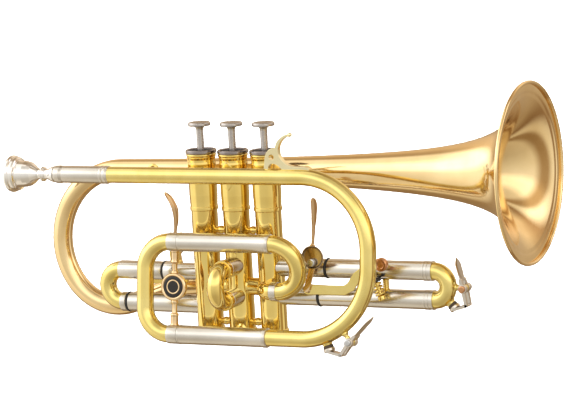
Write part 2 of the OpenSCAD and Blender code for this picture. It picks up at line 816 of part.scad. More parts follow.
first_pin = first_pivot + first_arm * [sin(first_swing), -cos(first_swing)];
third_pin = third_pivot + third_arm * [-sin(third_swing), -cos(third_swing)];

module first_link() {
    color("gold") difference() {
        union() {
            slab(link_y) {
                difference() {
                    bar2d([-76, first_pin[1] - 0.3], first_pin - [0, 0.3], 7.6);
                    pin_slot(first_pin, first_arm, first_swing);
                }
            }
            slab([3.5, link_y[1]]) bar2d([-76, -73], [-66, -73], 5);
        }
        tube_x(-90, -40, 0, first_upper_z, sleeve_r, 0);
    }
}

// Turns a lever about its pivot: hub, lower arm with its pin, upper arm
module trigger_arms(pivot, pin, top, y_range, pin_y) {
    slab(y_range) difference() {
        union() {
            translate(pivot) circle(hub_r);
            bar2d(pivot, pin, 4.2);
            bar2d(pivot, top, 4);
        }
        translate(pivot) circle(pivot_r + 0.05);
    }
    slab(pin_y) translate(pin) circle(pivot_r);
}

// Finger plate that curves from its base to its tip; bulge is its rise over the chord
module finger_plate(base, tip, bulge, y_range) {
    chord = norm(tip - base);
    r = (chord * chord / 4 + bulge * bulge) / (2 * bulge);
    half = asin(chord / 2 / r);
    heading = atan2(tip[1] - base[1], tip[0] - base[0]) - 90;
    centre = (base + tip) / 2 - (r - bulge) * [cos(heading), sin(heading)];
    arc_strip(centre, r, 1.4, y_range, heading - half, heading + half);
}

module first_trigger() {
    base = [-55.3, -44.5];
    color("#d8b48a") {
        trigger_arms(first_pivot, first_pin, base, lever_y, [link_y[0] - 0.1, lever_y[0] + 1]);
        finger_plate(base + [0, -1.5], [-61.4, -14.6], 4.6, [4.4, 15.4]);
    }
}

// ---------- second slide ----------

module second_slide_bow() {
    color("gold") translate([0, second_bow_y, second_upper_z]) rotate([0, 0, -90])
        bent_tube([[0, second_bow_r, 180, 0]], tube_r, bore_r);
}

module second_slide_legs() {
    end = second_sleeve_y - rest_gap;
    color("lightgray") for (z = [second_upper_z, second_lower_z]) {
        tube_y(end, second_bow_y, 0, z, ring_r, bore_r);
        tube_y(-11.5, end, 0, z, tube_r, bore_r);
    }
}

// ---------- third slide, its link and its trigger ----------

module third_slide_bow() {
    color("gold") {
        translate([third_bow_x, 0, third_upper_z])
            bent_tube([[0, third_bow_r, 180, 0]], tube_r, bore_r);
        translate([third_key_at[0], 0, third_key_at[1]])
            key_nipple(third_bow_r + tube_r, third_nipple_angle);
    }
}

module third_slide_sleeves() {
    ring_x = third_bow_x - third_ferrule_l;
    color("lightgray") for (leg = [
        [third_upper_z, third_upper_ring_x + bumper_w + rest_gap],
        [third_lower_z, third_lower_ring_x + bumper_w + rest_gap]
    ]) {
        tube_x(leg[1], ring_x, 0, leg[0], sleeve_r, sleeve_in_r);
        tube_x(ring_x, third_bow_x, 0, leg[0], sleeve_r, bore_r);
        for (x = [ring_x, ring_x + 2.4, third_bow_x - 1.2])
            tube_x(x, x + 1.2, 0, leg[0], ring_r, sleeve_r);
    }
}

// Turned upright between the two sleeves, under the thumbscrew
module third_slide_brace() {
    x = 112;
    color("gold") difference() {
        translate([x, 0, third_lower_z + 5]) {
            cylinder(r = 1.6, h = third_upper_z - third_lower_z - 10);
            for (k = [0:4]) translate([0, 0, 2.2 + 1.4 * k]) rotate_extrude()
                translate([1.8, 0]) circle(0.6, $fn = 16);
        }
        tube_x(x - 6, x + 6, 0, third_upper_z, sleeve_r, 0);
        tube_x(x - 6, x + 6, 0, third_lower_z, sleeve_r, 0);
    }
}

module third_link() {
    z = third_pin[1] - 0.45;
    color("gold") difference() {
        union() {
            slab([-link_y[1], -link_y[0]]) difference() {
                union() {
                    bar2d([third_pin[0], z], [85, z], 7.2);
                    bar2d([85, z], [94, -68], 6.4);
                    bar2d([94, -68], third_boss, 5.6);
                    translate(third_boss) circle(4.8);
                }
                pin_slot(third_pin, third_arm, third_swing);
                translate(third_boss) circle(pivot_r + 0.05);
            }
            slab([-link_y[1], -3.5]) bar2d([107, third_boss[1]], third_boss, 7);
        }
        tube_x(60, 130, 0, third_upper_z, sleeve_r, 0);
        translate([third_boss[0], 0, third_boss[1]]) rotate([90, 0, 0])
            cylinder(r = pivot_r + 0.05, h = 20);
    }
}

module third_trigger() {
    base = [62.4, -47];
    y_range = [-lever_y[1], -lever_y[0]];
    color("#d8b48a") {
        trigger_arms(third_pivot, third_pin, base, y_range, [-lever_y[0] - 1, 0.1 - link_y[0]]);
        finger_plate(base + [0, -1.5], [65, -13.4], 1.4, [-15.2, -4.4]);
    }
}

module trigger_posts() {
    color("lightgray") {
        difference() {
            slab(post_y) bar2d(first_pivot, first_pivot - [0, 6], 2 * hub_r);
            translate([first_pivot[0], 0, first_pivot[1]]) rotate([-90, 0, 0])
                cylinder(r = pivot_r + fine, h = 20);
            tube_x(-70, -40, 0, first_upper_z, ring_r, 0);
        }
        difference() {
            slab([-post_y[1], -post_y[0]]) bar2d(third_pivot, third_pivot - [0, 4], 2 * hub_r);
            translate([third_pivot[0], 0, third_pivot[1]]) rotate([90, 0, 0])
                cylinder(r = pivot_r + fine, h = 20);
            tube_x(40, 80, 0, third_upper_z, sleeve_r, 0);
        }
    }
}

// A headed pivot screw along Y
module pivot_screw(at, y_tip, y_head, head_t = 1) {
    side = sign(y_head - y_tip);
    slab([y_tip, y_head]) translate(at) circle(pivot_r);
    slab([y_head - side * head_t, y_head]) translate(at) circle(2.7);
}

// Torsion spring around a pivot screw, from y0 towards +Y
module pivot_spring(at, y0) {
    translate([at[0], y0, at[1]]) rotate([-90, 0, 0])
        coil(2.25, 0.28, spring_l, 3, per_turn = 14, sides = 5);
}

// ---------- water keys ----------

module front_key_frame() {
    translate([front_bow_x, leadpipe_y, leadpipe_z]) rotate([front_tilt, 0, 0])
        translate([0, 0, -front_drop + front_bow_r]) children();
}

module third_key_frame() {
    translate([third_key_at[0], 0, third_key_at[1]]) children();
}

// Short spout on a bow's outer side
module key_nipple(tube_out, angle) {
    rotate([0, -angle, 0]) translate([tube_out - 0.4, 0, 0]) rotate([0, 90, 0])
        linear_extrude(nipple_h + 0.4) ring2d(3.1, 1.6);
}

function polar(r, a) = r * [cos(a), sin(a)];

// Plate that stands on a bow and holds the key's screw
module key_post(barrel, angle, bow_r, pipe_r) {
    difference() {
        slab([-1.5, 1.5]) {
            rotate(angle) translate([bow_r + pipe_r - 1.5, -2])
                square([norm(barrel) - bow_r - pipe_r + 1.5, 4]);
            translate(barrel) circle(2.6);
        }
        slab([-2, 2]) translate(barrel) circle(pivot_r + fine);
        rotate([0, -angle, 0]) translate([bow_r, 0, 0])
            cylinder(r = pipe_r, h = 12, center = true);
    }
}

// Thumb blade, barrel, arm and cork cup, slotted at the barrel for the post
module key_lever(barrel, cup_at, cup_angle, blade_tip, elbow) {
    color("lightgray") difference() {
        union() {
            for (side = [-1, 1]) slab([side * 1.85, side * key_w]) {
                translate(barrel) circle(key_barrel_r);
                bar2d(barrel, barrel + 6.4 * (blade_tip - barrel) / norm(blade_tip - barrel), 1.7);
                bar2d(barrel, elbow, 2);
            }
            slab([-key_w, key_w]) {
                bar2d(barrel + 6.4 * (blade_tip - barrel) / norm(blade_tip - barrel), blade_tip, 1.5);
                bar2d(elbow, cup_at + polar(0.5, cup_angle), 1.9);
            }
            translate([cup_at[0], 0, cup_at[1]]) rotate([0, 90 - cup_angle, 0])
                translate([0, 0, -1.6]) cylinder(r = 4, h = 2.4);
        }
        slab([-8, 8]) translate(barrel) circle(pivot_r + 0.05);
    }
}

module key_cork(cup_at, cup_angle) {
    color("#181410") translate([cup_at[0], 0, cup_at[1]]) rotate([0, 90 - cup_angle, 0])
        translate([0, 0, -1.6 - cork_t]) cylinder(r = 3.6, h = cork_t);
}

third_barrel = polar(third_barrel_out, third_key_angle);
third_cup = polar(third_bow_r + tube_r + nipple_h + cork_t + 1.6, third_nipple_angle);
third_elbow = third_barrel + [1.9, -11.7];
third_blade = third_barrel + [-5.2, 20.7];
front_barrel = polar(front_barrel_out, front_key_angle);
front_cup = polar(front_bow_r + lead_r + nipple_h + cork_t + 1.6, front_nipple_angle);
front_elbow = front_barrel + [-6.2, -8.9];
front_blade = front_barrel + [16.9, 17.8];

module front_key_post() {
    color("gold") front_key_frame() key_post(front_barrel, front_key_angle, front_bow_r, lead_r);
}

module third_key_post() {
    color("gold") third_key_frame() key_post(third_barrel, third_key_angle, third_bow_r, tube_r);
}

module front_key_lever() {
    front_key_frame()
        key_lever(front_barrel, front_cup, front_nipple_angle, front_blade, front_elbow);
}

module third_key_lever() {
    third_key_frame()
        key_lever(third_barrel, third_cup, third_nipple_angle, third_blade, third_elbow);
}

module front_key_cork() {
    front_key_frame() key_cork(front_cup, front_nipple_angle);
}

module third_key_cork() {
    third_key_frame() key_cork(third_cup, third_nipple_angle);
}

key_spring_y = key_w + spring_gap;

// Screws that the two triggers and the front bow's water key turn on
module pivot_screws() {
    color("silver") {
        pivot_screw(first_pivot, post_y[0] + 1, screw_head_y);
        pivot_screw(third_pivot, -post_y[0] - 1, -screw_head_y);
        front_key_frame() pivot_screw(front_barrel, key_spring_y + spring_l, -key_w - 1.3);
    }
}

// The third slide's water key screw and the thumbscrew that holds its link
module third_slide_screws() {
    color("#a5603c") {
        third_key_frame() pivot_screw(third_barrel, key_spring_y + spring_l, -key_w - 1.3);
        slab([-13, -7.5]) translate(third_boss) circle(pivot_r);
        slab([-13, -link_y[1]]) translate(third_boss) circle(4.1);
    }
}

// Torsion springs beside the two triggers and the front bow's water key
module return_springs() {
    color("silver") {
        pivot_spring(first_pivot, lever_y[1] + spring_gap);
        pivot_spring(third_pivot, -lever_y[1] - spring_gap - spring_l);
        front_key_frame() pivot_spring(front_barrel, key_spring_y);
    }
}

module third_key_spring() {
    color("silver") third_key_frame() pivot_spring(third_barrel, key_spring_y);
}

// ---------- mouthpiece ----------

module mouthpiece() {
    rim_x = -169;
    color("silver") translate([0, leadpipe_y, leadpipe_z]) turned_x([
        [rim_x, 9.6], [rim_x - 0.4, 10.6], [rim_x, 12.2], [rim_x + 0.8, 13], [rim_x + 2, 13.3],
        [rim_x + 3.6, 13.1], [rim_x + 3.8, 12.3], [rim_x + 6.6, 12.1], [rim_x + 7.4, 11],
        [rim_x + 7.6, 9.7], [rim_x + 13, 9.4], [rim_x + 17, 8.3], [rim_x + 20, 6],
        [rim_x + 22, 4.3], [rim_x + 24, 3.8], [rim_x + 25.4, 4.4], [rim_x + 26.4, 5.3],
        [rim_x + 27.6, 5.3], [rim_x + 28.4, 4.2], [rim_x + 30, 3.8], [rim_x + 32, 4.4],
        [rim_x + 34.6, 5.7], [-132.7, 6], [-132.6, 5], [-108, 4.6], [-108, 4.1],
        [-140, 2.6], [-150, 1.9], [-155, 1.9], [-157, 3], [-160, 5.6], [-164, 7.4],
        [-167, 8.1]
    ]);
}

receiver();
leadpipe();
main_sleeves();
return_bow();
inlet_knuckle();
valve_casing(0);  // valve_casing_1
valve_casing(1);  // valve_casing_2
valve_casing(2);  // valve_casing_3
casing_connectors();
casing_braces();
top_caps();
cap_felts();
bottom_caps();
valve_guides();
bell();
bell_crook();
bell_braces();
pipe_braces();
finger_hook();
slide_port_tubes();
slide_bumpers();
trigger_posts();
front_key_post();
pivot_screws();
return_springs();
piston(0);  // piston_1
piston(1);  // piston_2
piston(2);  // piston_3
stem(0);  // stem_1
stem(1);  // stem_2
stem(2);  // stem_3
button(0);  // button_1
button(1);  // button_2
button(2);  // button_3
valve_spring(0);  // valve_spring_1
valve_spring(1);  // valve_spring_2
valve_spring(2);  // valve_spring_3
main_slide_bow();
main_slide_legs();
main_slide_brace();
badge();
first_slide_bow();
first_slide_legs();
first_link();
first_trigger();
second_slide_bow();
second_slide_legs();
third_slide_bow();
third_slide_sleeves();
third_slide_brace();
third_link();
third_trigger();
third_key_post();
third_slide_screws();
third_key_spring();
third_key_lever();
third_key_cork();
front_key_lever();
front_key_cork();
mouthpiece();
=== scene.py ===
"""Looks of the cornet: smooth tube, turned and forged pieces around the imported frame."""

import math
from math import asin, atan2, cos, hypot, pi, radians, sin

import bmesh
import bpy
from mathutils import Matrix, Vector


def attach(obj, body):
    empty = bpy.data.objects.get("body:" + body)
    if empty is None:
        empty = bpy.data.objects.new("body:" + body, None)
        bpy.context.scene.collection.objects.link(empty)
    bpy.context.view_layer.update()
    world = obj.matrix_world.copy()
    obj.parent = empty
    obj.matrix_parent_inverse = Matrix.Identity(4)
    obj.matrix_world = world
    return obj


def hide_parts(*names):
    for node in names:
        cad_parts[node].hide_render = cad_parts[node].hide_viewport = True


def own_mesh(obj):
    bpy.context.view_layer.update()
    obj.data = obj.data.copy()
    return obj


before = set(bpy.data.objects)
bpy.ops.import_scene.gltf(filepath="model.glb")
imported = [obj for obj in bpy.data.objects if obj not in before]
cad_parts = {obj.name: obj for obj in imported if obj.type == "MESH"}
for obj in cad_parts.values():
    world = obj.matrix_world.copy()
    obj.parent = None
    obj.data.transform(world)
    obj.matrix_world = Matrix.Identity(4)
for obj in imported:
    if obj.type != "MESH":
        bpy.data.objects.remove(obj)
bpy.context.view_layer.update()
MM = 0.001

# ---------------- materials


def add_node(tree, kind, inputs, operation=None):
    """New shader node. An input given as a socket is linked, any other is the input's value."""
    node = tree.nodes.new("ShaderNode" + kind)
    if operation:
        node.operation = operation
    return feed(tree, node, inputs)


def feed(tree, node, inputs):
    for key, value in inputs.items():
        if isinstance(value, bpy.types.NodeSocket):
            tree.links.new(value, node.inputs[key])
        else:
            node.inputs[key].default_value = value
    return node


def principled(name):
    mat = bpy.data.materials.new(name)
    mat.use_nodes = True
    return mat, mat.node_tree, mat.node_tree.nodes["Principled BSDF"]


def noise(tree, scale, detail=3.0, rough=0.5, stretch=None):
    """Object-space noise; stretch scales the coordinates per axis."""
    place = tree.nodes.new("ShaderNodeTexCoord").outputs["Object"]
    if stretch:
        place = add_node(tree, "Mapping", {"Scale": stretch, "Vector": place}).outputs["Vector"]
    return add_node(tree, "TexNoise", {"Scale": scale, "Detail": detail, "Roughness": rough,
                                       "Vector": place}).outputs["Fac"]


def ramp(tree, source, stops):
    """Colour from a value; stops are (position, colour)."""
    node = add_node(tree, "ValToRGB", {"Fac": source})
    elements = node.color_ramp.elements
    while len(elements) < len(stops):
        elements.new(0.5)
    for element, (position, colour) in zip(elements, stops):
        element.position = position
        element.color = tuple(colour) + (1.0,)
    return node.outputs["Color"]


def to_range(tree, source, low, high):
    """Spreads the middle of a noise, where most of it lies, from low to high."""
    return add_node(tree, "MapRange", {"Value": source, "From Min": 0.3, "From Max": 0.7,
                                       "To Min": low, "To Max": high}).outputs["Result"]


def bump(tree, height, strength, distance):
    return add_node(tree, "Bump", {"Height": height, "Strength": strength,
                                   "Distance": distance}).outputs["Normal"]


GRAIN_DEPTH = 0.00004
GRAIN_SCALE = 900.0


def metal(name, dark, light, rough, grain=(1, 1, 1), coat=0.0, relief=0.06, wave=0.0):
    """Metal with slow colour drift, buffing grain in roughness and relief, and lacquer."""
    mat, tree, shader = principled(name)
    drift = noise(tree, 55.0, 4.0)
    height = fine = noise(tree, GRAIN_SCALE, 2.0, 0.6, grain)
    if wave:
        slow = noise(tree, 60.0, 1.0)
        height = add_node(tree, "Math", {0: slow, 1: wave, 2: fine}, "MULTIPLY_ADD").outputs[0]
    feed(tree, shader, {
        "Metallic": 1.0, "Coat Weight": coat, "Coat Roughness": 0.05,
        "Base Color": ramp(tree, drift, [(0.30, dark), (0.70, light)]),
        "Roughness": to_range(tree, fine, *rough),
        "Normal": bump(tree, height, relief, GRAIN_DEPTH)})
    return mat


def dull(name, dark, light, rough, scale, relief, depth):
    """Felt, rubber, cork or enamel: one noise for colour, roughness and relief."""
    mat, tree, shader = principled(name)
    spots = noise(tree, scale, 6.0, 0.65)
    feed(tree, shader, {
        "Base Color": ramp(tree, spots, [(0.30, dark), (0.70, light)]),
        "Roughness": to_range(tree, spots, *rough),
        "Normal": bump(tree, spots, relief, depth)})
    return mat


# key, slot, material name, darker and lighter colour, roughness from and to, the rest by name
METALS = (
    ("brass", "brass", "lacquered_brass", (0.80, 0.63, 0.20), (0.88, 0.73, 0.28), (0.14, 0.21),
     dict(coat=0.35, relief=0.05, wave=1.2)),
    ("brass_gloss", "brass", "polished_brass", (0.80, 0.585, 0.165), (0.87, 0.68, 0.23),
     (0.05, 0.09), dict(coat=0.4, relief=0.02, wave=3.0)),
    ("rose", "rose_brass", "rose_brass", (0.86, 0.635, 0.32), (0.92, 0.71, 0.39), (0.10, 0.16),
     dict(coat=0.3, relief=0.015, wave=1.2)),
    ("nickel", "nickel_silver", "nickel_silver", (0.66, 0.63, 0.585), (0.73, 0.70, 0.655),
     (0.20, 0.27), dict(grain=(0.3, 1, 1), relief=0.04)),
    ("nickel_gloss", "nickel_silver", "polished_nickel", (0.62, 0.57, 0.52), (0.72, 0.67, 0.61),
     (0.10, 0.15), dict(relief=0.04)),
    ("button", "nickel_silver", "button_nickel", (0.47, 0.44, 0.43), (0.55, 0.52, 0.51),
     (0.22, 0.30), dict(relief=0.08)),
    ("cap", "nickel_silver", "dark_nickel", (0.27, 0.235, 0.235), (0.36, 0.32, 0.32),
     (0.14, 0.22), {}),
    ("silver", "silver_plate", "silver_plate", (0.86, 0.85, 0.85), (0.93, 0.92, 0.92),
     (0.04, 0.09), dict(relief=0.02, wave=1.0)),
    ("lever", "brass", "trigger_gold", (0.78, 0.56, 0.32), (0.88, 0.68, 0.42), (0.07, 0.13),
     dict(coat=0.2, relief=0.03)),
    ("cream", "brass", "pale_hook_brass", (0.87, 0.78, 0.48), (0.94, 0.86, 0.57), (0.10, 0.16),
     dict(coat=0.3, relief=0.03)),
    # dark dish: its dark brown colour is painted shade, standing in for the shadow inside the
    # trigger housing's hollow
    ("dark_dish", "brass", "tarnished_brass", (0.30, 0.22, 0.15), (0.46, 0.36, 0.25),
     (0.08, 0.14), dict(coat=0.3, relief=0.04)),
    # copper-brown tone: painted shade and painted brown reflection on the third slide's screw and
    # stop knob
    ("copper", "copper", "copper_screw", (0.55, 0.27, 0.13), (0.66, 0.36, 0.19), (0.16, 0.25),
     dict(relief=0.08)),
    ("monel", "monel", "lapped_piston", (0.50, 0.49, 0.47), (0.58, 0.56, 0.54), (0.16, 0.24),
     dict(grain=(1, 1, 0.05), relief=0.1)),
    ("steel", "spring_steel", "spring_wire", (0.50, 0.50, 0.51), (0.60, 0.60, 0.61),
     (0.18, 0.28), dict(relief=0.08)))
# the same, and then the noise's scale, its relief and its depth
DULL = (
    ("felt", "black_felt", "black_felt", (0.012, 0.012, 0.013), (0.045, 0.043, 0.042),
     (0.85, 1.0), 2600.0, 0.9, 0.0003),
    ("rubber", "black_rubber", "black_rubber", (0.010, 0.010, 0.010), (0.022, 0.021, 0.020),
     (0.42, 0.6), 900.0, 0.2, 0.00005),
    ("cork", "cork", "dark_cork", (0.035, 0.022, 0.013), (0.11, 0.075, 0.045), (0.7, 0.9),
     1500.0, 0.8, 0.0002),
    ("enamel", "black_enamel", "black_enamel", (0.008, 0.006, 0.005), (0.016, 0.012, 0.010),
     (0.08, 0.14), 300.0, 0.05, 0.00003),
    ("nylon", "ivory_nylon", "ivory_nylon", (0.66, 0.61, 0.48), (0.76, 0.72, 0.60), (0.4, 0.55),
     500.0, 0.1, 0.00005))
M = {row[0]: metal(*row[2:6], **row[6]) for row in METALS}
M.update({row[0]: dull(*row[2:]) for row in DULL})

# ---------------- mesh tools


def put(name, data):
    obj = bpy.data.objects.new(name, data)
    bpy.context.scene.collection.objects.link(obj)
    return obj


def cosd(degrees):
    return cos(radians(degrees))


def sind(degrees):
    return sin(radians(degrees))


def spin(degrees, axis):
    return Matrix.Rotation(radians(degrees), 4, axis)


def place_at(x, y, z, *turns):
    """Matrix that moves to a point and then turns there, by (degrees, axis) in order."""
    place = Matrix.Translation((x, y, z))
    for degrees, axis in turns:
        place = place @ spin(degrees, axis)
    return place


def skin(faces, a, b):
    """Quads between two closed rows of vertex numbers."""
    n = len(a)
    faces += [(a[i], a[(i + 1) % n], b[(i + 1) % n], b[i]) for i in range(n)]


class Shape:
    """Vertices and faces in millimetres, gathered from several parts of one piece."""

    def __init__(self):
        self.v, self.f = [], []

    def add(self, verts, faces, place=None):
        base = len(self.v)
        self.v += [tuple(place @ Vector(p)) if place else tuple(p) for p in verts]
        self.f += [tuple(base + i for i in face) for face in faces]
        return self

    def turned(self, profile, axis, at, seg, fillets=None, steps=5):
        """Adds a profile turned about an axis; at is a point, or a Matrix that places it."""
        if fillets is not None:
            profile = rounded(profile, fillets, steps)
        if isinstance(at, Matrix):
            return self.add(*lathe(profile, axis, (0, 0, 0), seg), at)
        return self.add(*lathe(profile, axis, at, seg))

    def bar(self, points, widths, low, high):
        """Adds a flat tapering bar with round ends, from y = low to y = high."""
        return self.add(*plate(bar_outline(points, widths), low, high))

    def make(self, name, body, mat, *replaces, sharp=40, bevel=0.0):
        """The finished piece, on its body, in place of the CAD nodes named."""
        mesh = bpy.data.meshes.new(name)
        mesh.from_pydata([(x * MM, y * MM, z * MM) for x, y, z in self.v], [], self.f)
        bm = bmesh.new()
        bm.from_mesh(mesh)
        bmesh.ops.remove_doubles(bm, verts=bm.verts, dist=2e-7)
        bmesh.ops.recalc_face_normals(bm, faces=bm.faces)
        bm.to_mesh(mesh)
        bm.free()
        mesh.materials.append(M[mat])
        obj = put(name, mesh)
        mesh.shade_smooth()
        if bevel:
            mod = obj.modifiers.new("edges", "BEVEL")
            mod.width = bevel * MM
            mod.segments = 3
            mod.limit_method = "ANGLE"
            mod.angle_limit = radians(30)
            mod.harden_normals = True
        else:
            mesh.set_sharp_from_angle(angle=radians(sharp))
        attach(obj, body)
        if replaces:
            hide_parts(*replaces)
        return obj


def rounded(points, radii, steps=5):
    """Fillets the corners of a profile of (u, r) points."""
    if not isinstance(radii, (list, tuple)):
        radii = [radii] * len(points)
    out = []
    n = len(points)
    for i, p in enumerate(points):
        r = radii[i]
        if i in (0, n - 1) or r <= 0:
            out.append(p)
            continue
        a, b = Vector(points[i - 1]), Vector(points[i + 1])
        c = Vector(p)
        da, db = a - c, b - c
        if da.length < 1e-6 or db.length < 1e-6:
            out.append(p)
            continue
        ua, ub = da.normalized(), db.normalized()
        half = ua.angle(ub) / 2
        if half > pi / 2 - 0.02 or half < 0.02:
            out.append(p)
            continue
        reach = min(r / math.tan(half), da.length * 0.48, db.length * 0.48)
        rr = reach * math.tan(half)
        centre = c + (ua + ub).normalized() * (rr / sin(half))
        s, e = c + ua * reach - centre, c + ub * reach - centre
        turn = s.angle(e)
        sign = 1 if s.cross(e) > 0 else -1
        for k in range(steps + 1):
            t = sign * turn * k / steps
            q = Vector((s.x * cos(t) - s.y * sin(t), s.x * sin(t) + s.y * cos(t)))
            out.append(tuple(centre + q))
    return out


def lathe(profile, axis="x", at=(0, 0, 0), seg=72):
    """Turns a profile of (u, r) points about an axis through at.

    A profile that starts off the axis closes on itself, as a ring.
    """
    verts, faces, rings = [], [], []
    for u, r in profile:
        if r < 1e-4:
            rings.append([len(verts)])
            verts.append((u, 0.0, 0.0))
            continue
        ring = []
        for i in range(seg):
            a = 2 * pi * i / seg
            ring.append(len(verts))
            verts.append((u, r * cos(a), r * sin(a)))
        rings.append(ring)
    pairs = list(zip(rings, rings[1:]))
    if len(rings[0]) > 1:
        pairs.append((rings[-1], rings[0]))
    for a, b in pairs:
        if len(a) == 1 and len(b) == 1:
            continue
        for i in range(seg):
            j = (i + 1) % seg
            if len(a) == 1:
                faces.append((a[0], b[i], b[j]))
            elif len(b) == 1:
                faces.append((a[i], b[0], a[j]))
            else:
                faces.append((a[i], b[i], b[j], a[j]))
    x, y, z = at
    turn = {"x": Matrix.Identity(4), "z": Matrix.Rotation(-pi / 2, 4, "Y"),
        "y": Matrix.Rotation(pi / 2, 4, "Z")}[axis]
    place = place_at(x, y, z) @ turn
    return [tuple(place @ Vector(p)) for p in verts], faces


def bend_frames(place, steps, fine=3.0):
    """Frames along a bending schedule of [straight, radius, degrees, roll]; local +X is ahead."""
    frames = [place.copy()]
    here = place.copy()
    for straight, radius, angle, roll in steps:
        if straight > 0:
            here = here @ place_at(straight, 0, 0)
            frames.append(here.copy())
        here = here @ spin(roll, "X")
        if angle > 0:
            n = max(2, int(math.ceil(angle / fine)))
            for k in range(1, n + 1):
                a = radians(angle) * k / n
                frames.append(here @ Matrix.Translation(
                    (radius * sin(a), 0, -radius * (1 - cos(a)))) @ Matrix.Rotation(a, 4, "Y"))
            here = frames[-1].copy()
    return frames


def sweep(frames, outer, inner=None, seg=48):
    """Tube along frames. outer and inner are a radius or a function of the share of the length."""
    origin = [f.translation for f in frames]
    dist = [0.0]
    for a, b in zip(origin, origin[1:]):
        dist.append(dist[-1] + (b - a).length)
    total = dist[-1]
    # parallel transport, so that a roll in the schedule doesn't twist the tube
    heads = [(f.to_3x3() @ Vector((1, 0, 0))).normalized() for f in frames]
    up = (frames[0].to_3x3() @ Vector((0, 0, 1))).normalized()
    ups = [up]
    for a, b in zip(heads, heads[1:]):
        up = (a.rotation_difference(b) @ ups[-1])
        up = (up - b * up.dot(b)).normalized()
        ups.append(up)

    def ring(radius):
        out = []
        for o, h, u, d in zip(origin, heads, ups, dist):
            r = radius(d, total) if callable(radius) else radius
            side = h.cross(u)
            out.append([tuple(o + (u * cos(2 * pi * i / seg) + side * sin(2 * pi * i / seg)) * r)
                for i in range(seg)])
        return out

    shells = [ring(outer)]
    if inner:
        shells.append(ring(inner))
    verts, faces = [], []
    index = []
    for shell in shells:
        rows = []
        for row in shell:
            rows.append(list(range(len(verts), len(verts) + seg)))
            verts += row
        index.append(rows)
    for rows in index:
        for a, b in zip(rows, rows[1:]):
            skin(faces, a, b)
    for end in (0, -1):
        if inner:
            skin(faces, index[0][end], index[1][end])
        else:
            faces.append(tuple(index[0][end]))
    return verts, faces


def plate(outline, low, high, holes=()):
    """Flat plate in X and Z with its thickness from y = low to y = high, holes cut through."""
    bm = bmesh.new()
    loops = []
    for loop in [outline] + list(holes):
        vs = [bm.verts.new((x, low, z)) for x, z in loop]
        es = [bm.edges.new((vs[i], vs[(i + 1) % len(vs)])) for i in range(len(vs))]
        loops += es
    bmesh.ops.triangle_fill(bm, use_beauty=True, use_dissolve=True, edges=loops)
    got = bmesh.ops.extrude_face_region(bm, geom=bm.faces[:])
    moved = [e for e in got["geom"] if isinstance(e, bmesh.types.BMVert)]
    for v in moved:
        v.co.y = high
    bmesh.ops.recalc_face_normals(bm, faces=bm.faces)
    bm.verts.index_update()
    verts = [tuple(v.co) for v in bm.verts]
    faces = [tuple(v.index for v in f.verts) for f in bm.faces]
    bm.free()
    return verts, faces


def arc_points(cx, cz, r, a0, a1, n):
    """n steps of a circle's arc, from a0 to a1 degrees, as (x, z) points."""
    angles = [a0 + (a1 - a0) * k / n for k in range(n + 1)]
    return [(cx + r * cosd(a), cz + r * sind(a)) for a in angles]


def coil(at, mean, wire, length, turns, per_turn=40, sides=10):
    """Round wire wound about Z from at, with flat end turns."""
    n = int(turns * per_turn)
    frames = []
    for i in range(n + 1):
        a = 2 * pi * turns * i / n
        t = i / n
        ease = min(1, max(0, (t * turns - 0.75) / max(0.1, turns - 1.5)))
        z = wire + (length - 2 * wire) * ease
        p = Vector((mean * cos(a), mean * sin(a), z))
        h = Vector((-sin(a), cos(a), 0.03)).normalized()
        side = Vector((cos(a), sin(a), 0))
        up = h.cross(side)
        m = Matrix((h, side, up)).transposed().to_4x4()
        m.translation = p + Vector(at)
        frames.append(m)
    return sweep(frames, wire, seg=sides)


def smooth_path(points, n=12):
    """Catmull-Rom curve through the points."""
    p = [Vector(q) for q in points]
    p = [p[0] * 2 - p[1]] + p + [p[-1] * 2 - p[-2]]
    out = []
    for i in range(1, len(p) - 2):
        for k in range(n):
            t = k / n
            a, b, c, d = p[i - 1], p[i], p[i + 1], p[i + 2]
            out.append(0.5 * ((2 * b) + (c - a) * t + (2 * a - 5 * b + 4 * c - d) * t * t
                + (3 * b - a - 3 * c + d) * t * t * t))
    out.append(p[-2])
    return out


def meet_casing(mesh, cx, side, radius=9.05):
    """Trims a tube's end to the casing at cx, on its side "x-", "x+", "y-" or "y+".

    Points inside the casing move back along the tube to its surface.
    """
    verts, faces = mesh
    sign = 1 if side[1] == "+" else -1
    out = []
    for x, y, z in verts:
        if hypot(x - cx, y) < radius:
            if side[0] == "x":
                x = cx + sign * math.sqrt(radius ** 2 - y * y)
            else:
                y = sign * math.sqrt(radius ** 2 - (x - cx) ** 2)
        out.append((x, y, z))
    return out, faces


# ---------------- sizes, mm

BORE, TUBE, SLEEVE_IN, SLEEVE, RING, LEAD = 5.6, 6.05, 6.1, 6.65, 6.95, 5.8
LEAD_Y, LEAD_Z = -20, 2.0
VALVES = (-25, 0, 25)
UP_Y, UP_Z, LOW_Y, LOW_Z = -24, -44.2, -33, -108.2
INLET_Z = -78.8
BELL_Y = 22.0
RIM_X, RIM_R, CROOK_X = 213, 62.5, -100.7       # the bell from its rim to its crook
FLARE_END, FLARE_POWER, BELL_WALL = 222.8, 0.62, 0.5
BOW_R, THIRD_BOW_R = 50, 10                     # front bow, third slide's bow
RETURN_Y = -17                                  # lower end of the return bow
FIRST_Z, SECOND_Z, THIRD_Z = (-69.4, -92.6), (-63.2, -85), (-64.5, -84.5)
CASING_EDGE = 9.3                               # where tubes meet the casings
ARM, FIRST_SWING, THIRD_SWING = 20, 14.5, 17.5  # trigger levers: length, degrees either way
LEVER_IN, LEVER_OUT, HUB_OUT = 8.95, 10.6, 10.75
FRONT_CUP, FRONT_POST, THIRD_CUP, THIRD_POST = -69.5, -54, -46, -3  # water keys, degrees
FRONT_X = 61.5
FRONT_DROP = hypot(LOW_Y - LEAD_Y, LOW_Z - LEAD_Z)
FRONT_TILT = math.degrees(asin((LOW_Y - LEAD_Y) / FRONT_DROP))
